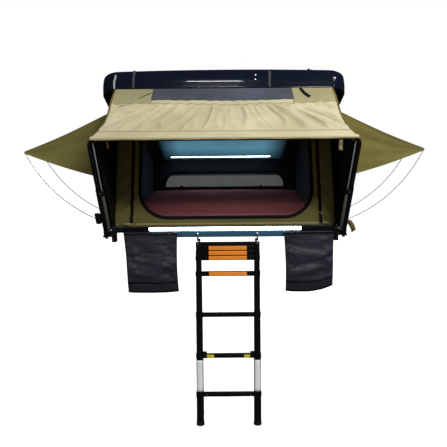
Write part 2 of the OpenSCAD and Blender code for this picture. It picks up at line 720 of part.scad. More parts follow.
// Bow sleeve: eye on the bow's pin, tube for the bow's leg, and the two seats of the gas spring
module sleeve(side) color(black)
  along(bow_pivot, bow_deg) {
    inner_x = spring_x - spring_r;
    outer_x = arm_x + sleeve_r;
    difference() {
      union() {
        cross_pin(side * (arm_x - eye_w / 2), side * (arm_x + eye_w / 2), 18);
        block([min(side * inner_x, side * outer_x), -neck_d / 2, neck_from],
              [max(side * inner_x, side * outer_x), neck_d / 2, neck_to]);
        translate([side * arm_x, 0, neck_from]) cylinder(r = sleeve_r, h = sleeve_len - neck_from);
        block([min(side * inner_x, side * arm_x), -neck_d / 2, collar_from],
              [max(side * inner_x, side * arm_x), neck_d / 2, collar_from + collar_h]);
      }
      cross_pin(side * (arm_x - 40), side * (arm_x + 40), bow_pin_r + fit);
      translate([side * arm_x, 0, neck_to - 5]) cylinder(r = bow_tube_r + gap, h = sleeve_len);
      translate([side * spring_x, 0, collar_from - 1]) cylinder(r = spring_rod_r + gap, h = collar_h + 2);
    }
  }
module sleeve_left() sleeve(-1);
module sleeve_right() sleeve(1);

// Gas spring beside the sleeve, seated between the neck and the collar
module bow_spring(side) color([0.3, 0.3, 0.26])
  along(bow_pivot, bow_deg) translate([side * spring_x, 0, neck_to]) difference() {
    cylinder(r = spring_r, h = collar_from - neck_to);
    translate([0, 0, -1]) cylinder(r = spring_r - 3, h = collar_from - neck_to + 2);
  }
module bow_spring_left() bow_spring(-1);
module bow_spring_right() bow_spring(1);
module bow_spring_rod(side) color("silver")
  along(bow_pivot, bow_deg) translate([side * spring_x, 0, spring_rod_end])
    cylinder(r = spring_rod_r, h = spring_rod_top - spring_rod_end);
module bow_spring_rod_left() bow_spring_rod(-1);
module bow_spring_rod_right() bow_spring_rod(1);

// Bow: two legs, two bends and the bar that carries the awning's hem
module bow_tube() color(black)
  along(bow_pivot, bow_deg) {
    for (side = [-1, 1]) {
      translate([side * arm_x, 0, bow_len - leg_len]) cylinder(r = bow_tube_r, h = leg_len - bow_bend);
      translate([side * (arm_x - bow_bend), 0, bow_len - bow_bend]) rotate([90, 0, 0])
        rotate([0, 0, side > 0 ? 0 : 90]) rotate_extrude(angle = 90) translate([bow_bend, 0]) circle(r = bow_tube_r);
    }
    translate([0, 0, bow_len]) cross_pin(bow_bend - arm_x, arm_x - bow_bend, bow_tube_r);
  }

// Arc of a rod from a point where it has a slope, turning upwards
module rod_arc(p, r, slope, turn)
  translate([p[0] - r * sin(slope), 0, p[1] + r * cos(slope)]) rotate([90, 0, 0]) rotate([0, 0, slope - 90])
    rotate_extrude(angle = turn, $fn = 192) translate([r, 0]) circle(r = rod_r, $fn = 12);
// Spring rod: straight in its socket, round a knee and in one long bow up to the hood's tip
module hood_rod(side, back) color("gray")
  at_front() translate([0, back, -socket_drop]) mirror([side < 0 ? 1 : 0, 0, 0]) {
    cross_pin(base_half + 4, rod_mouth, rod_r);
    rod_arc([rod_mouth, 0], rod_knee, 0, rod_rise);
    rod_arc(rod_knee_end, rod_bow_r, rod_rise, 2 * rod_half_turn);
  }
module hood_rod_front_left() hood_rod(-1, rod_back[0]);
module hood_rod_front_right() hood_rod(1, rod_back[0]);
module hood_rod_rear_left() hood_rod(-1, rod_back[1]);
module hood_rod_rear_right() hood_rod(1, rod_back[1]);

// Ladder section: two stile tubes with their end blocks and one rung
module ladder_section(k) {
  r = stile_radius(k);
  reach = k == len(rung_at) ? stile_end - rung_place(k) : stile_len;
  gripped = k <= grip_count;
  color(black) on_ladder() difference() {
    union() {
      for (side = [-1, 1]) translate([side * ladder_gap / 2, 0, -rung_place(k)]) {
        translate([0, 0, -reach]) cylinder(r = r, h = reach);
        translate([0, 0, -rung_h / 2]) cylinder(r = r + collar_lip, h = rung_h);
      }
      translate([0, 0, -rung_place(k)])
        cube([ladder_gap, gripped ? core_d : rung_d, gripped ? core_h : grip_h], center = true);
      if (gripped) for (side = [-1, 1]) translate([side * (ladder_gap + grip_l) / 4, 0, -rung_place(k)])
        cube([(ladder_gap - grip_l) / 2 - 2 * gap, core_d, rung_h], center = true);
      if (k == 1) ladder_head();
    }
    for (side = [-1, 1]) translate([side * ladder_gap / 2, 0, -rung_place(k) - reach - 1])
      cylinder(r = r - stile_wall, h = reach + rung_h + 2);
    if (k == 1) cross_pin(-ladder_gap, ladder_gap, ladder_pin_r + fit);
  }
}
// Top bar of the ladder and the two lugs that hang on the pins
module ladder_head() {
  half = ladder_gap / 2 + stile_r + collar_lip;
  block([-half, -core_d / 2, -head_to], [half, core_d / 2, -head_from]);
  for (side = [-1, 1]) {
    x0 = min(side * (ladder_gap / 2 - gap), side * (ladder_gap / 2 - lug_w));
    translate([side > 0 ? x0 - gap : x0, 0, 0]) {
      cross_pin(0, lug_w - gap, lug_r - 4);
      block([0, -8, -head_to], [lug_w - gap, 8, 0]);
    }
  }
}
module ladder_section_1() ladder_section(1);
module ladder_section_2() ladder_section(2);
module ladder_section_3() ladder_section(3);
module ladder_section_4() ladder_section(4);
module ladder_section_5() ladder_section(5);
module ladder_section_6() ladder_section(6);
module ladder_section_7() ladder_section(7);

// Coloured grip round the middle of a rung
module rung_grip(k) color("orange")
  on_ladder() translate([0, 0, -rung_place(k)]) difference() {
    cube([grip_l, rung_d, grip_h], center = true);
    cube([grip_l + 2, core_d, core_h], center = true);
  }
module rung_grip_1() rung_grip(1);
module rung_grip_2() rung_grip(2);
module rung_grip_3() rung_grip(3);
module rung_grip_4() rung_grip(4);

module ladder_feet() color(black)
  on_ladder() for (side = [-1, 1]) translate([side * ladder_gap / 2, 0, -stile_end - foot_h])
    cylinder(r = stile_radius(len(rung_at)) + collar_lip, h = foot_h);

mounting_rails();
base_frame();
floor_panel();
mattress();
side_brackets();
bow_brackets();
rod_sockets();
front_rail();
front_light();
shoe_bag_left();
shoe_bag_right();
ladder_brackets();
front_wall();
rear_wall();
rear_window();
side_wall_left();
side_wall_right();
hood_left();
hood_right();
awning_side_left();
awning_side_right();
awning();
lid_shell();
headliner();
lid_ribs();
lid_link_brackets();
lid_strut_brackets();
ceiling_light();
rear_link_left();
rear_link_right();
strut_cylinder_left();
strut_cylinder_right();
strut_rod_left();
strut_rod_right();
sleeve_left();
sleeve_right();
bow_spring_left();
bow_spring_right();
bow_tube();
bow_spring_rod_left();
bow_spring_rod_right();
hood_rod_front_left();
hood_rod_front_right();
hood_rod_rear_left();
hood_rod_rear_right();
ladder_section_1();
ladder_section_2();
ladder_section_3();
ladder_section_4();
ladder_section_5();
ladder_section_6();
ladder_section_7();
rung_grip_1();
rung_grip_2();
rung_grip_3();
rung_grip_4();
ladder_feet();
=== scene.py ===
"""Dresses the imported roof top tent: canvas, lid, lights, bags and ladder, in metres in the row frame."""
import json
import math

import bmesh
import bpy
from mathutils import Matrix, Vector, noise

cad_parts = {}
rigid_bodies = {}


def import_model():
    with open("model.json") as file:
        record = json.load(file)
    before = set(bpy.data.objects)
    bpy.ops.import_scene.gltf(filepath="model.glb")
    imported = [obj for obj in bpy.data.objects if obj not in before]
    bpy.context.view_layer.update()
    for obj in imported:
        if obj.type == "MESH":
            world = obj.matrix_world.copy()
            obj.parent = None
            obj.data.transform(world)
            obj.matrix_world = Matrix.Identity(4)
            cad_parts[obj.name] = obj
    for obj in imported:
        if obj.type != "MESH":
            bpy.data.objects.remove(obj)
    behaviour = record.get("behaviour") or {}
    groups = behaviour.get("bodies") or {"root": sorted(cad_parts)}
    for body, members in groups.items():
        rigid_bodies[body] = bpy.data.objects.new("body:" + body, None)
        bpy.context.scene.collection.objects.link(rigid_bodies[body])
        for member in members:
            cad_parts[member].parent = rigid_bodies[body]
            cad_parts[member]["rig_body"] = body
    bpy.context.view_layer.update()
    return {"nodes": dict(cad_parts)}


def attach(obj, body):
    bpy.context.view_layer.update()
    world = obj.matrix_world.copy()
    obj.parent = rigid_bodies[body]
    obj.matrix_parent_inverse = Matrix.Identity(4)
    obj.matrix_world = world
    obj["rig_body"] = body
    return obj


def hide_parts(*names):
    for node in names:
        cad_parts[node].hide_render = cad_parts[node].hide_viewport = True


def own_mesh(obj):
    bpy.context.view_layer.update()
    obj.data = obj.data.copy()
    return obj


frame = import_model()


def moved(x, y, z):
    return Matrix.Translation((x, y, z))


def rotated(angle, axis):
    return Matrix.Rotation(angle, 4, axis)


# Frames of the tray's top front edge, the open lid, the awning bow's arm and the ladder
FRONT, TRAY_TOP = -1.09, 0.072
QUARTER = math.pi / 2
LID_TILT = math.radians(22)
LADDER_LEAN = math.radians(6)
BOW_SLOPE = math.atan2(0.66, -0.405)
EDGE = moved(0, FRONT, TRAY_TOP)
LID = EDGE @ moved(0, 0.4, 0.957) @ rotated(-LID_TILT, "X")
BOW = EDGE @ moved(0, -0.025, -0.06) @ rotated(BOW_SLOPE - QUARTER, "X")
LADDER = EDGE @ moved(0.017, -0.05, -0.086) @ rotated(-LADDER_LEAN, "X")
LID_UP = LID.to_3x3() @ Vector((0, 0, 1))

# Measures that several pieces share
SIDES = ((-1, "left"), (1, "right"))
LID_HALF, LID_LEN, LID_DEEP, LID_CORNER = 0.91, 2.1, 0.145, 0.13
TRAY_HALF = 0.775
WALL_X, WALL_S = 0.7665, 0.0235
WALL_FOOT, WALL_HEAD = -1.021, 0.1045
REAR_Y, REAR_SLOPE, REAR_TOP = 2.0985, 0.1386, 0.3605
CANVAS, TAPE, THIN = 0.0014, 0.0012, 0.001
THREAD_PITCH, THREAD_RELIEF = 0.0014, 0.00025

# Length of one band of the wave texture at a scale of 1
WAVE_LENGTH = 0.31416


def edge_point(x, y, z):
    return EDGE @ Vector((x, y, z))


def lid_point(x, s, h):
    return LID @ Vector((x, s, h))


def clamp(value):
    return min(1.0, max(0.0, value))


def arch(share):
    """Half wave: 0 at the ends, 1 in the middle."""
    return math.sin(math.pi * share)


def rgb(colour):
    return (*colour, 1.0)


def darker(colour, share):
    return tuple(share * c for c in colour)


def operator(operation, reflected=False):
    """Arithmetic on a wire, which adds a Math node."""
    def apply(wire, other):
        left, right = (other, wire) if reflected else (wire, other)
        return wire.finish.node("Math", {"operation": operation}, {0: left, 1: right})
    return apply


class Wire:
    """One output socket of a finish, for expressions."""

    def __init__(self, finish, socket):
        self.finish = finish
        self.socket = socket

    __add__, __radd__ = operator("ADD"), operator("ADD", True)
    __sub__, __rsub__ = operator("SUBTRACT"), operator("SUBTRACT", True)
    __mul__, __rmul__ = operator("MULTIPLY"), operator("MULTIPLY", True)
    __pow__, larger = operator("POWER"), operator("MAXIMUM")


class Finish:
    """A procedural material for one slot: a Principled shader and its nodes on one set of coordinates."""

    def __init__(self, name, slot, colour, shine=0.5, where="Object", **constants):
        self.slot = slot
        self.material = bpy.data.materials.new(name)
        self.material.use_nodes = True
        self.material.diffuse_color = rgb(colour)
        self.tree = self.material.node_tree
        self.shader = self.tree.nodes["Principled BSDF"]
        self.where = self.node("TexCoord", output=where)
        constants.update(Base_Color=rgb(colour), Specular_IOR_Level=shine)
        for socket, value in constants.items():
            self.shader.inputs[socket.replace("_", " ")].default_value = value

    def node(self, kind, settings=None, inputs=None, output=0):
        made = self.tree.nodes.new("ShaderNode" + kind)
        for key, value in (settings or {}).items():
            if key == "stops":
                ramp = made.color_ramp
                ramp.elements[0].position, ramp.elements[1].position = value[0][0], value[-1][0]
                for stop in value[1:-1]:
                    ramp.elements.new(stop[0])
                for element, stop in zip(ramp.elements, value):
                    element.color = rgb((stop[1],) * 3)
            else:
                setattr(made, key, value)
        for key, value in (inputs or {}).items():
            if isinstance(value, Wire):
                self.tree.links.new(value.socket, made.inputs[key])
            else:
                made.inputs[key].default_value = value
        return Wire(self, made.outputs[output])

    def noise(self, scale, detail=3.0, distortion=0.0, stretch=None, turn=0.0):
        where = self.where
        if stretch:
            where = self.node("Mapping", None, {"Vector": where, "Scale": stretch, "Rotation": (0, 0, turn)})
        sockets = {"Vector": where, "Scale": scale, "Detail": detail, "Distortion": distortion}
        return self.node("TexNoise", None, sockets)

    def bands(self, direction, pitch):
        settings = {"wave_type": "BANDS", "bands_direction": direction, "wave_profile": "SIN"}
        return self.node("TexWave", settings, {"Vector": self.where, "Scale": WAVE_LENGTH / pitch})

    def weave(self, pitch):
        return self.bands("X", pitch) * self.bands("Y", pitch)

    def ramp(self, value, *stops):
        return self.node("ValToRGB", {"stops": stops}, {0: value})

    def mix(self, share, low, high):
        low, high = (rgb(c) if isinstance(c, tuple) else c for c in (low, high))
        return self.node("Mix", {"data_type": "RGBA"}, {"Factor": share, 6: low, 7: high}, output=2)

    def feed(self, height=None, **wires):
        """Links wires to the shader's sockets, a height through a bump, and gives the finish back."""
        if height is not None:
            wires["Normal"] = self.node("Bump", None, {"Height": height, "Distance": 1.0, "Strength": 1.0})
        for name, wire in wires.items():
            self.tree.links.new(wire.socket, self.shader.inputs[name.replace("_", " ")])
        return self


def canvas_finish(name, slot, light, dark, creasing=0.0022, sheen=0.1):
    """Woven canvas: threads on the piece's own UV map, cloudy dye and soft creases."""
    finish = Finish(name, slot, light, 0.15, "UV", Sheen_Weight=sheen, Sheen_Roughness=0.6)
    weave = finish.weave(THREAD_PITCH)
    cloudy = finish.noise(2.3, 4.0, 0.3)
    fine = finish.noise(90.0, 2.0)
    creases = finish.noise(5.5, 5.0, 1.1, (1.0, 2.2, 1.0), 0.5)
    share = finish.ramp(cloudy * 0.75 + fine * 0.25, (0.32, 0.0), (0.7, 1.0))
    threads = finish.mix(weave * 0.35, finish.mix(share, dark, light), darker(dark, 0.6))
    relief = weave * THREAD_RELIEF + creases * creasing
    return finish.feed(relief, Base_Color=threads, Roughness=0.74 + fine * 0.2)


def metal_finish(name, slot, colour, worn, roughness, metallic=0.0):
    """Painted or coated metal: fine orange peel, cloudy roughness and paler worn edges."""
    finish = Finish(name, slot, colour, 0.14, Metallic=metallic)
    peel = finish.noise(900.0, 2.0)
    cloudy = finish.noise(9.0, 4.0)
    wear = finish.node("Attribute", {"attribute_name": "edge_wear"}, output="Fac")
    rubbed = wear * finish.ramp(finish.noise(60.0, 4.0), (0.45, 0.0), (0.62, 1.0))
    tone = finish.mix(cloudy * 0.5, colour, darker(colour, 0.7))
    coat = finish.mix(rubbed * 0.7, tone, worn)
    return finish.feed(peel * 0.00006, Base_Color=coat, Roughness=roughness - 0.08 + cloudy * 0.16)


def brushed_finish(name, slot, colour, roughness, stretch):
    """Drawn bare metal with fine lines along its length."""
    finish = Finish(name, slot, colour, Metallic=1.0)
    lines = finish.noise(220.0, stretch=stretch)
    cloudy = finish.noise(6.0)
    tone = finish.mix(lines * 0.5 + cloudy * 0.3, darker(colour, 0.75), colour)
    return finish.feed(lines * 0.00008, Base_Color=tone, Roughness=roughness + lines * 0.14)


def plastic_finish(name, slot, colour, roughness, grain=0.00012, shine=0.12):
    """Moulded plastic or rubber with a fine spark-eroded grain."""
    finish = Finish(name, slot, colour, shine)
    pores = finish.noise(700.0, 2.0)
    cloudy = finish.noise(12.0)
    tone = finish.mix(cloudy * 0.6, colour, darker(colour, 0.78))
    return finish.feed(pores * grain, Base_Color=tone, Roughness=roughness + pores * 0.15)


def gloss_finish():
    """Deep glossy navy-black lid skin: faint ripple, light dust and hairline rub marks."""
    finish = Finish("lid_gloss_skin", "lid_gloss", (0.004, 0.006, 0.012), 0.12, Coat_Roughness=0.03, IOR=1.5)
    ripple = finish.noise(14.0, 2.0)
    dust = finish.noise(55.0, 6.0)
    rubs = finish.noise(26.0, 4.0, 0.4, (1.0, 14.0, 14.0))
    dusty = finish.ramp(dust, (0.55, 0.0), (0.8, 1.0))
    rubbed = finish.ramp(rubs, (0.5, 0.0), (0.75, 1.0))
    tone = finish.mix(dusty * 0.25, (0.003, 0.005, 0.011), (0.012, 0.014, 0.02))
    return finish.feed(ripple * 0.00003, Base_Color=tone, Roughness=0.14 + rubbed * 0.16,
                       Coat_Weight=1.0 - dust * 0.3)


def mesh_finish():
    """Insect mesh: open cells between grey threads."""
    finish = Finish("insect_mesh", "window_mesh", (0.11, 0.115, 0.115), 0.2, "UV")
    thread = finish.bands("X", 0.0026).larger(finish.bands("Y", 0.0026))
    cloudy = finish.noise(4.0)
    tone = finish.mix(cloudy, (0.05, 0.055, 0.053), (0.085, 0.09, 0.087))
    return finish.feed(thread * 0.0004, Base_Color=tone, Alpha=0.84 + thread * 0.14,
                       Roughness=0.7 + cloudy * 0.15)


def mattress_finish():
    """Dark maroon knitted cover with stretched creases."""
    finish = Finish("maroon_knit", "mattress_cover", (0.3, 0.09, 0.095), 0.0)
    knit = finish.weave(0.003)
    creases = finish.noise(5.0, 4.0, 0.8, (0.6, 3.4, 1.0))
    cloudy = finish.noise(3.0)
    # Colour follows the creases: lighter on their ridges and darker in their valleys, which is painted light
    # and shade
    tone = finish.mix(creases * 0.7 + cloudy * 0.3, (0.2, 0.05, 0.055), (0.5, 0.17, 0.18))
    return finish.feed(knit * 0.0003 + creases * 0.009, Base_Color=tone, Roughness=0.75 + cloudy * 0.2)


def ripstop_finish():
    """Charcoal bag cloth with a raised ripstop grid and a soft coated shine."""
    finish = Finish("charcoal_ripstop", "bag_fabric", (0.006, 0.0065, 0.01), 0.25, "UV")
    grid = (finish.bands("X", 0.006) ** 12.0).larger(finish.bands("Y", 0.006) ** 12.0)
    creases = finish.noise(13.0, 5.0, 1.0, (1.6, 1.0, 1.0), 0.3)
    cloudy = finish.noise(5.0)
    tone = finish.mix(cloudy * 0.6 + grid * 0.2, (0.016, 0.0165, 0.025), (0.042, 0.044, 0.064))
    return finish.feed(grid * 0.0002 + creases * 0.009, Base_Color=tone, Roughness=0.38 + cloudy * 0.2)


def lining_finish():
    """Grey quilted lining with a painted pool of blue light, emitted round the strip of light that is mounted
    on it.
    """
    finish = Finish("quilt_lining", "liner", (0.07, 0.075, 0.08), 0.15, "UV", Emission_Strength=0.25)
    weave = finish.weave(THREAD_PITCH)
    cloudy = finish.noise(3.0, 4.0)
    across, along = (finish.node("SeparateXYZ", None, {0: finish.where}, output=axis) for axis in "XY")
    near = finish.ramp(along * (1 / 1.84), (0.45, 0.0), (0.64, 0.8), (0.82, 1.0), (0.93, 0.5), (1.0, 0.25))
    wide = finish.ramp(across * (1 / 1.54), (0.08, 0.0), (0.2, 1.0), (0.76, 1.0), (0.9, 0.0))
    tone = finish.mix(cloudy, (0.055, 0.06, 0.065), (0.085, 0.09, 0.097))
    # Painted light: blue emission in a pool round the ceiling light's strip
    glow = finish.mix(near * wide * (0.7 + cloudy * 0.5), (0.0, 0.0, 0.0), (0.33, 0.88, 1.25))
    return finish.feed(weave * THREAD_RELIEF, Base_Color=tone, Roughness=0.75 + cloudy * 0.15,
                       Emission_Color=glow)


def webbing_finish(name, slot, colour):
    """Flat woven webbing with ribs across it."""
    finish = Finish(name, slot, colour, 0.12, "UV")
    ribs = finish.bands("X", 0.002)
    cloudy = finish.noise(30.0)
    tone = finish.mix(ribs * 0.4 + cloudy * 0.3, colour, darker(colour, 0.6))
    return finish.feed(ribs * 0.0004, Base_Color=tone, Roughness=0.7 + cloudy * 0.15)


def zip_finish():
    """Black zip tape with its row of coil teeth."""
    finish = Finish("zip_tape", "canvas", (0.004, 0.004, 0.005), 0.12, "UV")
    teeth = finish.bands("X", 0.0024)
    cloudy = finish.noise(25.0)
    tone = finish.mix(teeth * 0.5, (0.003, 0.003, 0.004), (0.011, 0.011, 0.013))
    return finish.feed(teeth * 0.0006, Base_Color=tone, Roughness=0.45 + cloudy * 0.25)


def diffuser_finish(name, colour, strength):
    """Frosted light cover, brighter over each of the diodes behind it."""
    finish = Finish(name, "light", (0.9, 0.92, 0.95), Roughness=0.4, Emission_Strength=strength)
    diodes = finish.bands("X", 0.0167)
    frost = finish.noise(500.0, 2.0)
    return finish.feed(frost * 0.0001, Emission_Color=finish.mix(diodes * 0.2, colour, (1.0, 1.0, 1.0)))


def floor_finish():
    """Pale studio floor, cloudy and faintly lit from within."""
    finish = Finish("studio_floor", None, (0.9, 0.9, 0.9), 0.0, Roughness=0.9,
                    Emission_Color=rgb((1.0, 1.0, 1.0)), Emission_Strength=0.8)
    cloudy = finish.noise(0.4, 2.0)
    return finish.feed(Base_Color=finish.mix(cloudy, (0.9, 0.9, 0.9), (0.94, 0.94, 0.94)))


OLIVE = canvas_finish("olive_canvas", "canvas", (0.135, 0.119, 0.028), (0.098, 0.086, 0.019))
WALL_OLIVE = canvas_finish("wall_canvas", "canvas", (0.15, 0.132, 0.036), (0.11, 0.096, 0.025))
# Near-black canvas for the awning's sides: its darkness is painted shade
SHADE_OLIVE = canvas_finish("shaded_canvas", "canvas", (0.003, 0.003, 0.002), (0.002, 0.002, 0.0013),
                            sheen=0.0)
KHAKI = canvas_finish("khaki_canvas", "awning_canvas", (0.43, 0.395, 0.255), (0.28, 0.25, 0.137))
# Darker khaki for the awning's top ends under the lid's rim: painted shade
TOP_SHADE_KHAKI = canvas_finish("top_painted_shade_canvas", "awning_canvas", (0.27, 0.245, 0.125), (0.17, 0.155, 0.07))
SLATE = canvas_finish("slate_coated_cloth", "awning_canvas", (0.05, 0.056, 0.08), (0.014, 0.015, 0.024),
                      creasing=0.01)
LINING = lining_finish()
DARK_LINING = canvas_finish("dark_lining", "liner", (0.012, 0.013, 0.017), (0.007, 0.008, 0.011))
GLOSS = gloss_finish()
MESH = mesh_finish()
MAROON = mattress_finish()
RIPSTOP = ripstop_finish()
BLACK_WEB = webbing_finish("black_webbing", "bag_fabric", (0.008, 0.008, 0.009))
KHAKI_WEB = webbing_finish("khaki_webbing", "awning_canvas", (0.34, 0.29, 0.15))
STRAP_WEB = webbing_finish("strap_webbing", "rubber", (0.05, 0.05, 0.055))
BROWN_WEB = webbing_finish("brown_webbing", "awning_canvas", (0.13, 0.085, 0.035))
ZIP = zip_finish()
POWDER = metal_finish("black_powder_coat", "black_metal", (0.007, 0.007, 0.009), (0.12, 0.12, 0.12), 0.42)
ANODISED = metal_finish("black_anodised", "stile_tube", (0.006, 0.006, 0.007), (0.2, 0.2, 0.21), 0.36)
# Blue-black rail paint, made brighter blue with painted light from the front light strip
RAIL_PAINT_LED_LIT = metal_finish("blue_black_rail_with_painted_led_light", "black_metal", (0.04, 0.115, 0.19), (0.25, 0.27, 0.29), 0.3)
SPRING_PAINT = metal_finish("grey_olive_paint", "spring_paint", (0.13, 0.13, 0.1), (0.4, 0.4, 0.38), 0.35,
                            metallic=0.1)
ALUMINIUM = brushed_finish("bare_aluminium", "bright_metal", (0.78, 0.78, 0.77), 0.28, (1.0, 0.05, 1.0))
ROD_GREY = metal_finish("grey_rod_coat", "steel_rod", (0.3, 0.33, 0.36), (0.5, 0.5, 0.5), 0.4)
STEEL = brushed_finish("drawn_steel", "steel_rod", (0.5, 0.49, 0.46), 0.24, (1.0, 1.0, 0.05))
HONEYCOMB = brushed_finish("floor_sheet", "floor", (0.32, 0.32, 0.32), 0.45, (1.0, 0.04, 1.0))
ORANGE = plastic_finish("orange_grip", "rung_grip", (1.0, 0.32, 0.02), 0.42, shine=0.4)
RUBBER = plastic_finish("black_rubber", "rubber", (0.012, 0.012, 0.012), 0.6, 0.0003)
BLACK_PLASTIC = plastic_finish("black_plastic", "black_metal", (0.01, 0.01, 0.011), 0.4)
YELLOW_LABEL = plastic_finish("yellow_film", "rung_grip", (0.72, 0.6, 0.02), 0.35, 0.00003)
SILVER_LABEL = plastic_finish("silver_film", "bright_metal", (0.95, 0.95, 0.95), 0.35, 0.00003)
FRONT_GLOW = diffuser_finish("front_diffuser", (0.6, 0.82, 1.0), 16.0)
CEILING_GLOW = diffuser_finish("ceiling_diffuser", (0.6, 0.84, 1.0), 14.0)


def link(made):
    bpy.context.scene.collection.objects.link(made)
    return made


def put(bm, at):
    bmesh.ops.transform(bm, matrix=at, verts=bm.verts)
    return bm


def outwards(bm):
    bmesh.ops.recalc_face_normals(bm, faces=bm.faces)
    return bm


def facing_front(bm, x, y, z):
    """Turns an upright drum to face the front and puts it in place."""
    return put(bm, moved(x, y, z) @ rotated(QUARTER, "X"))


def bevel(bm, edges, width, segments=3):
    return bmesh.ops.bevel(bm, geom=edges, offset=width, offset_type="OFFSET", segments=segments, profile=0.5,
                           affect="EDGES", clamp_overlap=True, material=-1)["faces"]


def cut(bm, place, normal):
    """Cuts the whole shape along a plane and keeps both sides."""
    bmesh.ops.bisect_plane(bm, geom=bm.verts[:] + bm.edges[:] + bm.faces[:], plane_co=place, plane_no=normal)


def add(name, bm, finish, body="base", slot=None, at=None, replaces=None, thick=0.0, inwards=False, sharp=38,
        fold=None):
    """Makes the bmesh a piece that rides a body, with its finish's material; a slot that is given is not
    used.

    A fold is a direction, an anchor and a share; it only gives the piece a mesh of its own, and nothing folds
    the piece.
    """
    if at is not None:
        put(bm, at)
    mesh = bpy.data.meshes.new(name)
    bm.to_mesh(mesh)
    bm.free()
    mesh.materials.append(finish.material)
    mesh.shade_smooth()
    mesh.set_sharp_from_angle(angle=math.radians(sharp))
    piece = link(bpy.data.objects.new(name, mesh))
    if thick:
        wall = piece.modifiers.new("wall", "SOLIDIFY")
        wall.thickness = thick
        wall.offset = -1 if inwards else 0
    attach(piece, body)
    slot or finish.slot
    if replaces:
        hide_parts(replaces)
    if fold:
        axis, anchor, keep = fold
        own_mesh(piece)
        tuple(axis)
        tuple(anchor)
    return piece


def joined(parts):
    """One bmesh from several shapes."""
    whole = bmesh.new()
    for part in parts:
        mesh = bpy.data.meshes.new("shape")
        part.to_mesh(mesh)
        part.free()
        whole.from_mesh(mesh)
        bpy.data.meshes.remove(mesh)
    return whole


def block(low, high):
    bm = bmesh.new()
    bmesh.ops.create_cube(bm, size=1)
    low, high = Vector(low), Vector(high)
    bmesh.ops.scale(bm, vec=high - low, verts=bm.verts)
    bmesh.ops.translate(bm, vec=(low + high) / 2, verts=bm.verts)
    return bm


def rounded_box(low, high, ease, segments=3):
    bm = block(low, high)
    bevel(bm, bm.edges[:], ease, segments)
    return bm


def box_row(places, half, low, high, ease, segments=3):
    """Alike rounded boxes, each half a width to either side of its x, between two corners (y, z)."""
    return joined(rounded_box((x - half, *low), (x + half, *high), ease, segments) for x in places)


def tube(radius, low, high, wall):
    """Upright open tube between two heights."""
    bm = bmesh.new()
    bmesh.ops.create_circle(bm, segments=48, radius=radius, cap_ends=False)
    drawn = bmesh.ops.extrude_edge_only(bm, edges=bm.edges[:])["geom"]
    top = [v for v in drawn if isinstance(v, bmesh.types.BMVert)]
    bmesh.ops.translate(bm, vec=(0, 0, high - low), verts=top)
    bmesh.ops.solidify(outwards(bm), geom=bm.faces[:], thickness=wall)
    bmesh.ops.translate(bm, vec=(0, 0, low), verts=bm.verts)
    return outwards(bm)


def drum(radius, low, high, ease, sides=24):
    """Upright cylinder between two heights, with eased rims."""
    bm = bmesh.new()
    bmesh.ops.create_cone(bm, cap_ends=True, segments=sides, radius1=radius, radius2=radius, depth=high - low)
    bmesh.ops.translate(bm, vec=(0, 0, (low + high) / 2), verts=bm.verts)
    bevel(bm, [e for e in bm.edges if abs(e.verts[0].co.z - e.verts[1].co.z) < 1e-6], ease, 2)
    return bm


def cloth(cols, rows, place, span, closed=False):
    """Grid of cloth laid on a surface; its UV map, a span or a function, is in metres along the threads."""
    bm = bmesh.new()
    bmesh.ops.create_grid(bm, x_segments=cols, y_segments=rows, size=0.5)
    threads = bm.loops.layers.uv.new("threads")
    for face in bm.faces:
        for loop in face.loops:
            u, v = loop.vert.co.x + 0.5, loop.vert.co.y + 0.5
            loop[threads].uv = span(u, v) if callable(span) else (u * span[0], v * span[1])
    for vert in bm.verts:
        vert.co = place(vert.co.x + 0.5, vert.co.y + 0.5)
    if closed:
        bmesh.ops.remove_doubles(bm, verts=bm.verts, dist=1e-5)
    return outwards(bm)


def patch(surface, us, vs, cols, rows, span):
    """Cloth on part of a surface, between two values of each of its two parameters."""
    (u0, u1), (v0, v1) = us, vs
    return cloth(cols, rows, lambda u, v: surface(u0 + (u1 - u0) * u, v0 + (v1 - v0) * v), span)


def filled(bm, edges=None):
    """Closes a cloth shape over all its open edges, or over the ones that are given."""
    bmesh.ops.holes_fill(bm, edges=edges or [e for e in bm.edges if e.is_boundary], sides=0)
    return outwards(bm)


def run_tube(points, radius):
    """Round piping along a run of points."""
    curve = bpy.data.curves.new("run", "CURVE")
    curve.dimensions = "3D"
    curve.bevel_depth = radius
    curve.bevel_resolution = 3
    curve.use_fill_caps = True
    spline = curve.splines.new("POLY")
    spline.points.add(len(points) - 1)
    for place, point in zip(spline.points, points):
        place.co = (*point, 1)
    holder = bpy.data.objects.new("run", curve)
    mesh = bpy.data.meshes.new_from_object(holder)
    bm = bmesh.new()
    bm.from_mesh(mesh)
    bpy.data.objects.remove(holder)
    bpy.data.curves.remove(curve)
    bpy.data.meshes.remove(mesh)
    return bm


def ribbon(points, across, length):
    """Flat webbing along a run of points, its width along one direction."""
    run = [Vector(p) for p in points]
    across = Vector(across)

    def place(u, v):
        k = min(int(u * (len(run) - 1)), len(run) - 2)
        return run[k].lerp(run[k + 1], u * (len(run) - 1) - k) + across * (v - 0.5)

    return cloth(4 * (len(run) - 1), 2, place, (length, across.length))


def bilinear(a, b, c, d):
    """Surface between four corners: a to b along u at the foot, d to c along u at the head."""
    return lambda u, v: a.lerp(b, u).lerp(d.lerp(c, u), v)


def crumple(point, scale, depth):
    return depth * noise.fractal(point * scale, 1.0, 2.0, 4)


def area_of(corners):
    """Area of a flat polygon given in order."""
    total = Vector((0, 0, 0))
    for a, b in zip(corners, corners[1:] + corners[:1]):
        total += a.cross(b)
    return total.length / 2


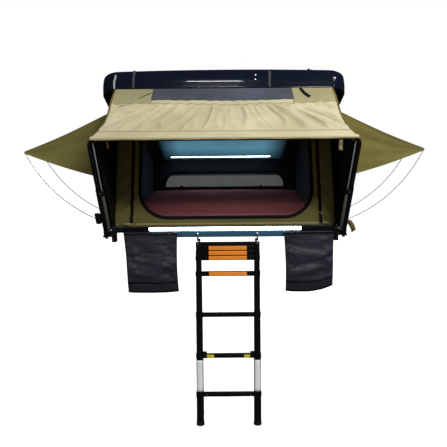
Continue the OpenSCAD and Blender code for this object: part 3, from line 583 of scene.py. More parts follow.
def rounded_outline(x0, x1, z0, z1, low_r, high_r, count):
    """Evenly spaced points round an upright rounded opening, from the middle of its foot."""
    def arc(cx, cz, r, start):
        angles = [start + k * math.pi / 24 for k in range(13)]
        return [(cx + r * math.cos(angle), cz + r * math.sin(angle)) for angle in angles]

    line = [((x0 + x1) / 2, z0)]
    line += arc(x1 - low_r, z0 + low_r, low_r, -QUARTER)
    line += arc(x1 - high_r, z1 - high_r, high_r, 0)
    line += arc(x0 + high_r, z1 - high_r, high_r, QUARTER)
    line += arc(x0 + low_r, z0 + low_r, low_r, math.pi)
    line.append(line[0])
    steps = [math.dist(a, b) for a, b in zip(line, line[1:])]
    total = sum(steps)
    points, k, done = [], 0, 0.0
    for i in range(count):
        want = total * i / count
        while done + steps[k] < want:
            done += steps[k]
            k += 1
        f = (want - done) / steps[k] if steps[k] else 0.0
        points.append(tuple(a + f * (b - a) for a, b in zip(line[k], line[k + 1])))
    return points


def to_rectangle(point, centre, box):
    """Where the ray from the centre through a point meets an upright rectangle."""
    dx, dz = point[0] - centre[0], point[1] - centre[1]
    reach = [((box[1] if dx > 0 else box[0]) - centre[0]) / dx if abs(dx) > 1e-9 else 1e9,
             ((box[3] if dz > 0 else box[2]) - centre[1]) / dz if abs(dz) > 1e-9 else 1e9]
    return centre[0] + dx * min(reach), centre[1] + dz * min(reach)


def grown(outline, width):
    """Outline moved outwards by a width."""
    outer = []
    for i, (x, z) in enumerate(outline):
        ax, az = outline[i - 1]
        bx, bz = outline[(i + 1) % len(outline)]
        length = math.hypot(bx - ax, bz - az) or 1.0
        outer.append((x + width * (bz - az) / length, z - width * (bx - ax) / length))
    return outer


def ring(inner, outer, rows, lift):
    """Cloth between two outlines with the same number of points; lift turns a flat point into its place."""
    count = len(inner)

    def place(u, v):
        i = round(u * count) % count
        return lift(*(a + v * (b - a) for a, b in zip(inner[i], outer[i])))

    girth = sum(math.dist(a, b) for a, b in zip(inner, inner[1:]))
    return cloth(count, rows, place, (girth, math.dist(inner[0], outer[0])), closed=True)


def pane(box, low_r, high_r, lift, cols=48):
    """Cloth filling an upright rounded opening."""
    x0, x1, z0, z1 = box

    def corner_inset(r, depth):
        return r - math.sqrt(max(0.0, r ** 2 - max(0.0, depth) ** 2))

    def flat(u, v):
        z = z0 + (z1 - z0) * v
        inset = corner_inset(low_r, z0 + low_r - z) + corner_inset(high_r, z - z1 + high_r)
        return x0 + inset + (x1 - x0 - 2 * inset) * u, z

    return cloth(cols, 24, lambda u, v: lift(*flat(u, v)), flat)


def eased(node, finish, ease):
    """Copy of a rigid CAD node with its sharp edges eased; the eased faces carry edge wear."""
    source = frame["nodes"][node]
    bm = bmesh.new()
    bm.from_mesh(source.data)
    bmesh.ops.remove_doubles(bm, verts=bm.verts, dist=1e-6)
    bmesh.ops.dissolve_limit(bm, angle_limit=math.radians(0.5), verts=bm.verts, edges=bm.edges)
    wear = bm.faces.layers.float.new("edge_wear")
    corners = [e for e in bm.edges if e.is_manifold and e.calc_face_angle(0) > math.radians(38)]
    for face in bevel(bm, corners, ease, 2):
        face[wear] = 1.0
    add(node + "_eased", bm, finish, source["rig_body"], replaces=node)


# Camera at the photograph's viewing angle
FOCAL_PX, FRAME_PX, SENSOR = 550.0, 447.0, 36.0
lens = bpy.data.cameras.new("view")
lens.sensor_width = SENSOR
lens.lens = SENSOR * FOCAL_PX / FRAME_PX
lens.shift_x = -1.5 / FRAME_PX
lens.clip_end = 60.0
camera = link(bpy.data.objects.new("view", lens))
camera.matrix_world = (moved(0, -4.83, 0.705) @ rotated(math.radians(80.66), "X")
                       @ rotated(math.radians(-0.5), "Z"))
bpy.context.scene.camera = camera


def softbox(name, place, aim, size, power, mirrored=True):
    light = bpy.data.lights.new(name, "AREA")
    light.shape = "RECTANGLE"
    light.size, light.size_y = size
    light.energy = power
    lamp = link(bpy.data.objects.new(name, light))
    lamp.location = place
    lamp.visible_glossy = mirrored
    lamp.visible_camera = False
    lamp.rotation_euler = (Vector(aim) - Vector(place)).to_track_quat("-Z", "Y").to_euler()


softbox("top_box", (1.8, -1.6, 3.6), (0, -1.0, 0.7), (1.2, 1.0), 120, False)
softbox("front_box", (1.7, -4.9, 3.6), (0, -1.0, 0.3), (1.2, 0.7), 165)
softbox("strip_box", (-0.15, -4.6, 5.0), (0, -0.7, 1.0), (0.95, 0.03), 11)
softbox("left_box", (-3.1, -3.4, 4.5), (-0.6, -0.6, 0.9), (0.8, 2.2), 50)
softbox("right_box", (3.6, -3.1, 4.5), (0.6, -0.6, 0.9), (0.25, 0.9), 14)
softbox("back_box", (0, 5.0, 3.2), (0, 0, 0.4), (4.0, 2.0), 110, False)
softbox("canvas_glow_box", (0, -0.62, 0.72), (0, -0.78, 0.12), (1.1, 0.12), 1.4, False)

# White surroundings: bright to the eye, softer as light and faint in reflections
SEEN, LIT, MIRRORED = 1.0, 0.26, 0.02
world = bpy.data.worlds.new("studio")
world.use_nodes = True
bpy.context.scene.world = world
sky = world.node_tree
rays = sky.nodes.new("ShaderNodeLightPath")
in_mirror, in_view = sky.nodes.new("ShaderNodeMix"), sky.nodes.new("ShaderNodeMix")
for share, ray, strength in ((in_mirror, "Is Glossy Ray", MIRRORED), (in_view, "Is Camera Ray", SEEN)):
    sky.links.new(rays.outputs[ray], share.inputs["Factor"])
    share.inputs["B"].default_value = strength
in_mirror.inputs["A"].default_value = LIT
sky.links.new(in_mirror.outputs["Result"], in_view.inputs["A"])
sky.links.new(in_view.outputs["Result"], sky.nodes["Background"].inputs["Strength"])
sky.nodes["Background"].inputs["Color"].default_value = (1, 1, 1, 1)
bpy.context.scene.view_settings.view_transform = "Standard"

FLOOR_Z, FLOOR_HALF = -1.31, 30
floor_bm = bmesh.new()
bmesh.ops.create_grid(floor_bm, x_segments=2, y_segments=2, size=FLOOR_HALF)
floor_mesh = bpy.data.meshes.new("studio_floor")
put(floor_bm, moved(0, 0, FLOOR_Z)).to_mesh(floor_mesh)
floor_bm.free()
floor_mesh.materials.append(floor_finish().material)
floor = link(bpy.data.objects.new("studio_floor", floor_mesh))
floor.visible_diffuse = False
floor.visible_glossy = False

# Rigid nodes whose shape is right: the same solids with eased edges
for finish, ease, nodes in (
    (POWDER, 0.003, "base_frame"),
    (HONEYCOMB, 0.001, "floor_panel"),
    (ALUMINIUM, 0.0008, "mounting_rails"),
    (POWDER, 0.002, "side_brackets"),
    (POWDER, 0.003, "bow_brackets"),
    (BLACK_PLASTIC, 0.002, "rod_sockets"),
    (RAIL_PAINT_LED_LIT, 0.004, "front_rail"),
    (ALUMINIUM, 0.002, "ladder_brackets"),
    (ALUMINIUM, 0.0015, "lid_ribs"),
    (POWDER, 0.002, "lid_link_brackets lid_strut_brackets"),
    (POWDER, 0.0012, "rear_link_left rear_link_right strut_cylinder_left strut_cylinder_right"),
    (STEEL, 0.0008, "strut_rod_left strut_rod_right"),
    (POWDER, 0.002, "sleeve_left sleeve_right"),
    (SPRING_PAINT, 0.0008, "bow_spring_left bow_spring_right"),
    (POWDER, 0.0008, "bow_tube"),
    (ROD_GREY, 0.0006, "bow_spring_rod_left bow_spring_rod_right"),
    (STEEL, 0.0004, "hood_rod_front_left hood_rod_front_right hood_rod_rear_left hood_rod_rear_right"),
    (RUBBER, 0.004, "ladder_feet"),
):
    for node in nodes.split():
        eased(node, finish, ease)


# Lid: moulded shell with slightly full sides, a crowned top and a pressed field on it
def lid_shell():
    bulge = {0.006: 0.0004, 0.013: 0.0006, 0.024: 0.001, 0.04: 0.0018, 0.055: 0.0027, 0.07: 0.003,
             0.085: 0.0027, 0.1: 0.0018}
    rounding, margin, slope, press, crown = 0.026, 0.09, 0.018, 0.005, 0.015
    middle = LID_LEN / 2
    bm = block((-LID_HALF, 0, 0), (LID_HALF, LID_LEN, LID_DEEP))
    bevel(bm, [e for e in bm.edges if abs(e.verts[0].co.z - e.verts[1].co.z) > 0.1], LID_CORNER, 16)
    bevel(bm, [e for e in bm.edges if all(v.co.z > LID_DEEP - 0.0001 for v in e.verts)], rounding, 6)
    bmesh.ops.delete(bm, geom=[f for f in bm.faces if f.normal.z < -0.9], context="FACES_ONLY")
    for height in bulge:
        cut(bm, (0, 0, height), (0, 0, 1))
    for vert in bm.verts:
        for height, out in bulge.items():
            if abs(vert.co.z - height) < 5e-4:
                vert.co.x *= 1 + out / LID_HALF
                vert.co.y = middle + (vert.co.y - middle) * (1 + out / middle)
                break
    field = [max(bm.faces, key=lambda f: f.calc_area() if f.normal.z > 0.9 else 0)]
    bmesh.ops.inset_region(bm, faces=field, thickness=margin, depth=0)
    bmesh.ops.inset_region(bm, faces=field, thickness=slope, depth=-press)
    for k in range(-8, 9):
        cut(bm, (k * 0.095, 0, 0), (1, 0, 0))
    for vert in bm.verts:
        vert.co.z += crown * (1 - (vert.co.x / LID_HALF) ** 2) * clamp((vert.co.z - 0.1) / 0.03)
    add("lid_gloss_shell", outwards(bm), GLOSS, "lid", at=LID, replaces="lid_shell", thick=0.005,
        inwards=True, sharp=50)


lid_shell()
SEAL_INSET = 0.014
SEAL_CORNER = LID_CORNER - SEAL_INSET
seal_line = rounded_outline(-LID_HALF + SEAL_INSET, LID_HALF - SEAL_INSET, SEAL_INSET, LID_LEN - SEAL_INSET,
                            SEAL_CORNER, SEAL_CORNER, 160)
seal = run_tube([(x, y, 0.004) for x, y in seal_line + seal_line[:1]], 0.008)
add("lid_rim_seal", seal, RUBBER, "lid", at=LID)

# Headliner: quilted lining, sewn in diamonds
LINER_W, LINER_LEN, DIAMOND, PUFF = 1.542, 1.832, 0.17, 0.0062


def headliner_at(u, v):
    x, s = LINER_W * (u - 0.5), 0.019 + LINER_LEN * v
    a, b = (x + s) / DIAMOND, (x - s) / DIAMOND
    pillow = abs(arch(a) * arch(b)) ** 0.5
    return Vector((x, s, 0.1115 - PUFF * pillow))


headliner = add("quilted_lining", cloth(150, 180, headliner_at, (1.54, 1.83)), LINING, "lid", at=LID,
                replaces="headliner", thick=0.003)

# Awning: from the lid's rim over the bow's bar to its hem
AWNING_HALF, AWNING_WAIST = 0.80, 0.03
AWNING_RIM = lid_point(0, 0.002, -0.0015)
BAR = edge_point(0, -0.43, 0.6)
BAR_WRAP = 0.0155
BAR_TOP = Vector((0, BAR.y, BAR.z + BAR_WRAP))
ROOF_LEN = (BAR_TOP - AWNING_RIM).length
WRAP_LEN = BAR_WRAP * QUARTER
HEM_LEN = 0.004
AWNING_LEN = ROOF_LEN + WRAP_LEN + HEM_LEN
TOP_SEAM, HEM_SEAM = 0.275, ROOF_LEN - 0.1
AWNING_FOLD = ((BAR - AWNING_RIM).normalized(), lid_point(0, 0.067, 0.0695), 0.03)


def awning_at(u, t, lift=0.0):
    """Point of the awning: u from -1 to 1 across, t in metres down from the rim."""
    v = min(t / ROOF_LEN, 1.0)
    x = u * (AWNING_HALF - AWNING_WAIST * arch(v ** 1.8))
    if t <= ROOF_LEN:
        p = AWNING_RIM.lerp(BAR_TOP, v)
        belly = arch(v)
        fan = x / (0.35 + 0.65 * v)
        fold = noise.noise(Vector((fan * 7.0, v * 1.2, 5.0)))
        crease = max(0.0, 1 - 4.0 * abs(fold)) ** 2
        below = clamp((t - 0.28) * 12) * clamp((HEM_SEAM - t) * 14) * clamp((1 - abs(u)) * 14)
        drag = (0.026 * crease + 0.03 * fold) * below * min(1.0, 0.35 + abs(fan))
        pucker = math.sin(u * 62) * 0.0032 * math.exp(-abs(t - 0.285) / 0.06) * min(1.0, v * 12)
        slack = crumple(Vector((x * 1.3, t * 2.2, 3.0)), 2.6, 0.008) * belly * min(1.0, (1 - v) * 8)
        sag = 0.022 * belly * (1 - 0.5 * u * u)
        return Vector((x, p.y, p.z - sag + drag + pucker + slack + lift))
    over = t - ROOF_LEN
    turn = min(over / BAR_WRAP, QUARTER)
    radius = BAR_WRAP + lift
    drop = max(0.0, over - WRAP_LEN)
    wave = 0.002 * math.sin(u * 19) * (drop / HEM_LEN)
    return Vector((x, BAR.y - radius * math.sin(turn) - wave, BAR.z + radius * math.cos(turn) - drop))


def on_awning(name, bm, finish, thick=TAPE, replaces=None):
    return add("awning_" + name, bm, finish, "lid", "awning_canvas", replaces=replaces, thick=thick,
               fold=AWNING_FOLD)


roof = patch(awning_at, (-1, 1), (0, AWNING_LEN), 240, 110, (2 * AWNING_HALF, AWNING_LEN))
awning = on_awning("sheet", roof, KHAKI, CANVAS, "awning")
for name, finish, u0, u1, t0, t1, lift, cols, rows in (
    # The two top bands are painted shade under the lid's rim, either side of the strip
    ("top_shade_band_left", TOP_SHADE_KHAKI, -1.0, -0.635, 0.004, TOP_SEAM, 0.0012, 60, 36),
    ("top_shade_band_right", TOP_SHADE_KHAKI, 0.61, 1.0, 0.004, TOP_SEAM, 0.0012, 60, 36),
    ("strip", SLATE, -0.645, 0.62, 0.004, 0.215, 0.0022, 150, 30),
    ("seam_top", KHAKI_WEB, -1.0, 1.0, TOP_SEAM, TOP_SEAM + 0.012, 0.0016, 240, 2),
    ("seam_hem", KHAKI_WEB, -1.0, 1.0, HEM_SEAM, HEM_SEAM + 0.01, 0.0016, 240, 2),
    ("hem_edge", KHAKI_WEB, -1.0, 1.0, AWNING_LEN - 0.012, AWNING_LEN, 0.0016, 240, 3),
    ("piping_left", BROWN_WEB, -1.0, -0.984, 0.02, ROOF_LEN - 0.01, 0.002, 3, 110),
    ("piping_right", BROWN_WEB, 0.984, 1.0, 0.02, ROOF_LEN - 0.01, 0.002, 3, 110),
):
    band = patch(lambda u, t: awning_at(u, t, lift), (u0, u1), (t0, t1), cols, rows,
                 ((u1 - u0) * AWNING_HALF, t1 - t0))
    on_awning(name, band, finish)
# The left tie's darker brown webbing is painted shade; the right tie is khaki
for name, x, tail, wide, finish in (("left", -0.697, 0.618, 0.009, BROWN_WEB),
                                    ("right", 0.694, 0.598, 0.022, KHAKI_WEB)):
    run = [(x, BAR.y - 0.006, BAR.z - 0.012), (x, BAR.y - 0.003, BAR.z - 0.03),
           (x, BAR.y + 0.004, tail + 0.03), (x + 0.002, BAR.y + 0.002, tail)]
    on_awning("tie_" + name, ribbon(run, (wide, 0, 0), 0.09), finish, CANVAS)
for name, finish, run in (
    ("left", KHAKI_WEB, ((-0.75, 0.19), (-0.715, 0.155), (-0.68, 0.115), (-0.65, 0.075))),
    ("right", BLACK_WEB, ((0.695, 0.006), (0.705, 0.06), (0.725, 0.13), (0.76, 0.2))),
):
    points = [awning_at(u, t, 0.004 + 0.006 * math.sin(9 * t)) for u, t in run]
    on_awning("strap_" + name, ribbon(points, (0.018, 0.004, 0.012), 0.2), finish, CANVAS)

# Awning sides: between the bow's arms and the front wall, with a flap outside the arm
SIDE_FOLD = ((0, 0.9334, 0.3589), edge_point(0, -0.081, -0.0815), 0.01)
FLAP = 0.16


def awning_side(side, name):
    arm_x, wall_x = side * 0.7698, side * 0.767
    corners = [edge_point(arm_x, -0.012, 0.0008), edge_point(wall_x, 0.044, 0.0012),
               lid_point(wall_x, 0.026, -0.018), edge_point(arm_x, -0.412, 0.586)]
    flat = bilinear(*corners)

    def place(u, v):
        if u < FLAP:
            out = 1 - u / FLAP
            return flat(0, v) + Vector((side * 0.05, 0.0085, 0.0052 - 0.06 * (1 - v) ** 6)) * out
        u = (u - FLAP) / (1 - FLAP)
        p = flat(u, v)
        slack = arch(u) * arch(v)
        p.x += side * (0.006 * slack + crumple(p, 4.0, 0.01) * slack)
        return p

    piece = add(f"awning_side_{name}_sheet", cloth(50, 44, place, (0.64, 0.9)), SHADE_OLIVE, "bow_sleeves",
                replaces=f"awning_side_{name}", thick=CANVAS, fold=SIDE_FOLD)
    area_of(corners) + 0.04


for side, name in SIDES:
    awning_side(side, name)

# Front wall with its door, zips, hem and skirt
FRONT_FOLD = (LID_UP, lid_point(0, WALL_S, WALL_FOOT + 0.05), 0.03)
DOOR = (-0.590, 0.607, WALL_FOOT + 0.062, WALL_FOOT + 0.9)
SKIRT_W, SKIRT_H = 1.534, 0.0225


def wall_lift(offset):
    """Turns a point of the front wall (x, height square to the lid) into its place."""
    def lift(x, h):
        fullness = arch((h - WALL_FOOT) / (WALL_HEAD - WALL_FOOT))
        corner = max(0.0, abs(x) - 0.58) * max(0.0, -0.55 - h)
        pull = math.sin(55 * (abs(x) * 1.1 + h)) * 0.3 * corner
        slack = (crumple(Vector((x, 0, h)), 3.5, 0.012) * fullness + pull) * clamp((WALL_X - abs(x)) * 12)
        return lid_point(x, WALL_S - offset + slack, h)
    return lift


def wall_skirt(name, y):
    """Foot of a wall, from above the tray's rim down to the floor panel."""
    def place(u, v):
        return Vector((SKIRT_W * (u - 0.5), y, TRAY_TOP + 0.003 - SKIRT_H * v))

    return add(name, cloth(80, 2, place, (SKIRT_W, SKIRT_H)), WALL_OLIVE, thick=TAPE)


door_line = rounded_outline(*DOOR, 0.19, 0.05, 200)
door_mid = ((DOOR[0] + DOOR[1]) / 2, (DOOR[2] + DOOR[3]) / 2)
wall_line = [to_rectangle(p, door_mid, (-0.7692, 0.7692, WALL_FOOT, WALL_HEAD)) for p in door_line]
front_wall = add("front_wall_sheet", ring(door_line, wall_line, 14, wall_lift(0)), WALL_OLIVE,
                 replaces="front_wall", thick=CANVAS, fold=FRONT_FOLD)
on_wall = wall_lift(0.0022)
zip_foot, zip_head = WALL_FOOT + 0.004, -0.03
wall_tapes = [("door_zip", ZIP, ring(grown(door_line, -0.004), grown(door_line, 0.02), 3, on_wall))]
for name, x0, x1 in (("left", -0.662, -0.640), ("right", 0.656, 0.678)):
    tape = patch(lambda h, x: on_wall(x, h), (zip_foot, zip_head), (x0, x1), 80, 3,
                 (zip_head - zip_foot, x1 - x0))
    wall_tapes.append(("wall_zip_" + name, ZIP, tape))
hem = patch(on_wall, (-0.76, 0.76), (WALL_FOOT + 0.001, WALL_FOOT + 0.016), 60, 2, (1.52, 0.015))
wall_tapes.append(("wall_hem", KHAKI_WEB, hem))
wall_trim = [add(name, bm, finish, slot="canvas", thick=TAPE, fold=FRONT_FOLD)
             for name, finish, bm in wall_tapes]
wall_skirt("front_wall_skirt", -1.0505)


# Rolled door, tied up under the lid
def door_roll_at(u, v):
    turn = 2 * math.pi * u
    r = 0.03 + 0.006 * math.sin(9 * v) + crumple(Vector((math.cos(turn), math.sin(turn), 6 * v)), 2.0, 0.006)
    rise = 0.01 * arch(3 * v) ** 2
    return Vector((-0.575 + 1.157 * v, 0.064 + r * math.cos(turn), -0.15 + rise + r * math.sin(turn)))


roll = filled(cloth(36, 90, door_roll_at, (0.2, 1.15), closed=True))
door_roll = add("rolled_door", roll, WALL_OLIVE, "lid", at=LID, fold=(LID_UP, lid_point(0, 0.06, 0.15), 0.2))

# Side walls, lined, with a mesh window under each hood
WALL_FOLD = ((0, 0, 1), (0, 0, TRAY_TOP - 0.003), 0.008)
SIDE_WINDOW = (0.36, 0.80, 0.20, 0.56)
SIDE_CORNERS = (0.07, 0.07)


def side_wall(side, name):
    x = side * WALL_X
    corners = [edge_point(x, 0.038, 0.0003), edge_point(x, 2.1, 0.0003),
               lid_point(x, 1.846, WALL_HEAD), lid_point(x, 0.022, WALL_HEAD)]
    flat = bilinear(*corners)
    y0, _, z0, z1 = SIDE_WINDOW

    def panel(inset):
        def place(u, v):
            p = flat(u, v)
            p.x -= side * (abs(crumple(p, 3.0, 0.012)) * arch(u) * arch(v) + inset)
            return p
        return cloth(90, 44, place, (2.06, 0.9))

    def skew(y, z):
        return y + 0.16 * (z - z0), z - 0.2 * (y - y0) * (z - z0) / (z1 - z0)

    def window_at(y, z):
        return edge_point(x + side * 0.0026, *skew(y, z))

    def zip_at(y, z):
        return edge_point(x + side * 0.0036, y, z)

    line = [skew(*p) for p in rounded_outline(*SIDE_WINDOW, *SIDE_CORNERS, 120)]
    piece = add(f"side_wall_{name}_sheet", panel(0), WALL_OLIVE, replaces=f"side_wall_{name}", thick=CANVAS,
                fold=WALL_FOLD)
    lining = add(f"side_lining_{name}", panel(0.004), DARK_LINING, thick=THIN, fold=WALL_FOLD)
    window = add(f"side_window_{name}", pane(SIDE_WINDOW, *SIDE_CORNERS, window_at), MESH, fold=WALL_FOLD)
    trim = add(f"side_window_zip_{name}", ring(line, grown(line, 0.02), 3, zip_at), ZIP, thick=THIN,
               fold=WALL_FOLD)
    area_of(corners)


for side, name in SIDES:
    side_wall(side, name)

# Rear wall, lined, and its mesh window
REAR_FOLD = ((0, REAR_SLOPE, 1), edge_point(0, REAR_Y, 0), 0.25)
WINDOW = (-0.63, 0.63, 0.066, 0.222)
WINDOW_CORNERS = (0.012, 0.14)


def rear_lift(offset):
    return lambda x, z: edge_point(x, REAR_Y + REAR_SLOPE * z + offset, z)


window_line = rounded_outline(*WINDOW, *WINDOW_CORNERS, 160)
rear_line = [to_rectangle(p, (0, 0.144), (-0.768, 0.768, 0.0005, REAR_TOP)) for p in window_line]
zip_lines = grown(window_line, -0.006), grown(window_line, 0.02)
rear_wall = add("rear_wall_sheet", ring(window_line, rear_line, 10, rear_lift(0)), WALL_OLIVE,
                replaces="rear_wall", thick=CANVAS, fold=REAR_FOLD)
rear_window = add("rear_mesh", pane(WINDOW, *WINDOW_CORNERS, rear_lift(0), 80), MESH, replaces="rear_window",
                  fold=REAR_FOLD)
rear_zips = [add("rear_zip_" + name, ring(*zip_lines, 3, rear_lift(offset)), ZIP, thick=THIN, fold=REAR_FOLD)
             for name, offset in (("inside", -0.0045), ("outside", 0.003))]
rear_lining = add("rear_lining", ring(window_line, rear_line, 10, rear_lift(-0.0022)), DARK_LINING,
                  thick=THIN, fold=REAR_FOLD)
sliders = box_row((-0.457, 0.383), 0.014, (-0.012, -0.011), (-0.003, 0.016), 0.003)
add("rear_zip_sliders", sliders, BLACK_PLASTIC, at=moved(*rear_lift(0)(0, 0.07)), fold=REAR_FOLD)
wall_skirt("rear_wall_skirt", edge_point(0, REAR_Y, 0).y)

# Side hoods: one sheet over the front gusset, the roof and the rear gusset
HOOD_WALL = [(0.1934, 0.2963), (0.38821, 0.82371), (0.93988, 0.60082), (0.86, 0.30)]
HOOD_TIP = [(0.244, 0.500), (0.250, 0.512), (0.600, 0.502), (0.606, 0.490)]
HOOD_X, TIP_X = 0.7685, 1.438


def hood_at(side, t, v, lift=0.0):
    """Point of a hood: t from 0 at the front foot round to 3 at the rear foot, v from wall to tips."""
    k = min(int(t), 2)
    f = t - k
    wall, tip = ([a * (1 - f) + b * f for a, b in zip(run[k], run[k + 1])] for run in (HOOD_WALL, HOOD_TIP))
    x = HOOD_X + (TIP_X - HOOD_X) * v
    y, z = (a * (1 - v) + b * v for a, b in zip(wall, tip))
    hollow = arch(v)
    z -= 0.014 * hollow
    inner = arch(f) * hollow
    dent = inner * 0.016
    drag = arch(6 * f + 1.5 * v) * 0.004 * hollow * (1 - v)
    slack = crumple(Vector((side * x, y * 1.5, z * 1.5)), 3.2, 0.012) * inner
    if k == 0:
        y += dent + drag + slack - lift
    elif k == 1:
        z += -dent + drag + slack + lift
    else:
        y += -dent + drag + slack + lift
    return edge_point(side * x, y, z)


def hood(side, name):
    fold = ((side * 0.03, 0, 1), (side * HOOD_X, 0, TRAY_TOP + 0.001), 0.003)
    sheet = cloth(96, 40, lambda u, v: hood_at(side, 3 * u, v), (2.3, 0.8))
    piece = add(f"hood_{name}_sheet", sheet, OLIVE, replaces=f"hood_{name}", thick=CANVAS, fold=fold)
    for label, t0, t1, v0, v1, cols, rows in (
        ("front_binding", 0.0, 0.025, 0.0, 1.0, 2, 40),
        ("rear_binding", 2.97, 3.0, 0.0, 1.0, 2, 40),
        ("ridge_front", 0.985, 1.0, 0.0, 1.0, 2, 40),
        ("ridge_rear", 2.0, 2.015, 0.0, 1.0, 2, 40),
        ("wall_tape", 0.02, 2.98, 0.0, 0.03, 90, 2),
        ("tip_tape", 0.1, 2.9, 0.975, 1.0, 60, 2),
    ):
        tape = patch(lambda t, v: hood_at(side, t, v, 0.0016), (t0, t1), (v0, v1), cols, rows,
                     ((t1 - t0) * 0.6 + 0.01, (v1 - v0) * 0.8))
        add(f"hood_{name}_{label}", tape, OLIVE, thick=TAPE, fold=fold)


for side, name in SIDES:
    hood(side, name)


# Mattress: crowned pad with pulled-in sides, piping and soft channels
def mattress():
    half, start, length, draw = 0.735, 0.078, 1.99, 0.009
    foot, crown, drop = -0.0195, 0.08, 0.026
    middle = edge_point(0, start + length / 2, 0)

    def plan(u, v):
        draw_x = draw * (1 - (2 * v - 1) ** 4)
        draw_y = draw * (1 - (2 * u - 1) ** 4)
        return (2 * u - 1) * (half - draw_x), start + length * v + (1 - 2 * v) * draw_y

    def top(u, v):
        x, y = plan(u, v)
        swell = (1 - abs(2 * u - 1) ** 10) * (1 - abs(2 * v - 1) ** 12)
        channel = 0.004 * math.exp(-((((v * 6) % 1) - 0.5) / 0.06) ** 2) * swell
        slack = crumple(Vector((x * 0.7, y * 1.6, 0)), 5.0, 0.006) * swell
        return edge_point(x, y, foot + crown - drop + drop * swell - channel + slack - 0.002)

    bm = cloth(110, 150, top, (2 * half, length))
    rim = [e for e in bm.edges if e.is_boundary]
    for step, out in ((0.02, 0.004), (0.02, 0.002), (0.0115, -0.008)):
        made = bmesh.ops.extrude_edge_only(bm, edges=rim)["geom"]
        verts = [g for g in made if isinstance(g, bmesh.types.BMVert)]
        rim = [g for g in made if isinstance(g, bmesh.types.BMEdge) and all(v in verts for v in g.verts)]
        for vert in verts:
            dx, dy = vert.co.x, vert.co.y - middle.y
            vert.co.z -= step
            vert.co.x += math.copysign(out, dx) * min(1.0, abs(dx) / 0.7)
            vert.co.y += math.copysign(out, dy) * min(1.0, abs(dy) / 0.95)
    pad = add("mattress_pad", filled(bm), MAROON, replaces="mattress", sharp=60)
    line = [plan(0.5 + 0.5 * a, 0.5 + 0.5 * b) for a, b in
            [(-1 + k / 12, -1) for k in range(24)] + [(1, -1 + k / 15) for k in range(30)]
            + [(1 - k / 12, 1) for k in range(24)] + [(-1, 1 - k / 15) for k in range(30)]]
    line.append(line[0])
    piping = run_tube([edge_point(x, y, foot + crown - drop - 0.003) for x, y in line], 0.0035)
    add("mattress_piping", piping, MAROON)


mattress()


# Lights: aluminium channel, frosted cover and end caps
def light_bar(name, left, right, low, high, glow, body, at, facing):
    (y0, z0), (y1, z1) = low, high
    channel = rounded_box((left, *low), (right, *high), 0.0015, 2)
    if facing == "front":
        face_low, face_high = (y0 - 0.002, z0 + 0.003), (y0 + 0.006, z1 - 0.003)
    else:
        face_low, face_high = (y0 + 0.003, z0 - 0.002), (y1 - 0.003, z0 + 0.006)
    face = rounded_box((left + 0.006, *face_low), (right - 0.006, *face_high), 0.002, 2)
    caps = box_row((left + 0.004, right - 0.004), 0.005, (y0 - 0.003, z0 - 0.001), (y1, z1 + 0.001), 0.001, 2)
    add(name + "_channel", channel, ALUMINIUM, body, at=at, replaces=name)
    add(name + "_cover", face, glow, body, at=at)
    add(name + "_caps", caps, BLACK_PLASTIC, body, at=at)


light_bar("front_light", -0.53, 0.53, (-0.022, -0.028), (-0.0002, -0.0002), FRONT_GLOW, "base", EDGE, "front")
light_bar("ceiling_light", -0.565, 0.485, (1.735, 0.093), (1.76, 0.1045), CEILING_GLOW, "lid", LID, "down")


# Shoe bags: sagging pockets with bindings, a pocket seam and hanging loops
def shoe_bag(name, left, width, lean, hitch):
    back, top, height, depth = -0.0355, -0.033, 0.415, 0.072
    fullest = 0.55

    def depth_at(v):
        if v < fullest:
            return depth * (0.5 + 0.5 * (v / fullest) ** 1.3)
        return depth * (1 - 0.45 * ((v - fullest) / (1 - fullest)) ** 3)

    def place(u, v):
        turn = 2 * math.pi * u
        d = depth_at(v)
        narrow = 1 - 0.05 * v - 0.03 * arch(v)
        cx, cy = math.cos(turn), math.sin(turn)
        px = math.copysign(abs(cx) ** 0.35, cx)
        py = math.copysign(abs(cy) ** 0.6, cy)
        x = left + width / 2 + px * width / 2 * narrow + lean * 0.02 * v
        y = back - d / 2 + py * d / 2
        z = top - height * v - 0.003 * arch((px + 1) / 2) * v + hitch * max(0.0, px) ** 1.5 * v
        if py < 0:
            y += crumple(Vector((x * 1.4, 0, z * 2.0)), 7.0, 0.03) * arch(min(1, v * 1.1)) * -py
        return edge_point(x, min(y, back), z)

    bm = cloth(72, 48, place, (2 * width + 0.1, height), closed=True)
    near_foot = edge_point(0, 0, top - height * 0.9).z
    foot = [e for e in bm.edges if e.is_boundary and all(v.co.z < near_foot for v in e.verts)]
    bag = add(f"shoe_bag_{name}_shell", filled(bm, foot), RIPSTOP, replaces=f"shoe_bag_{name}", thick=0.003,
              inwards=True, sharp=60)
    for label, v0, v1, proud in (("top_binding", 0.0, 0.03, 0.0022), ("pocket_seam", 0.8, 0.822, 0.0026),
                                 ("foot_binding", 0.965, 0.995, 0.0015)):
        band = patch(lambda u, v: place(u, v) - Vector((0, proud, 0)), (0.5, 1.0), (v0, v1), 60, 4,
                     (width, height * (v1 - v0)))
        add(f"shoe_bag_{name}_{label}", band, BLACK_WEB, thick=0.0015)
    loops = []
    for x in (left + width * 0.16, left + width * 0.84):
        points = [(x, back - 0.004, top - 0.05), (x, back - 0.003, top - 0.01), (x, -0.036, -0.03),
                  (x, -0.03, -0.0285), (x, -0.022, -0.0285)]
        loops.append(ribbon(points, (0.025, 0, 0), 0.08))
    add(f"shoe_bag_{name}_loops", joined(loops), BLACK_WEB, at=EDGE, thick=CANVAS)


shoe_bag("left", -0.692, 0.366, 0.6, 0.004)
shoe_bag("right", 0.400, 0.342, 0.3, 0.04)

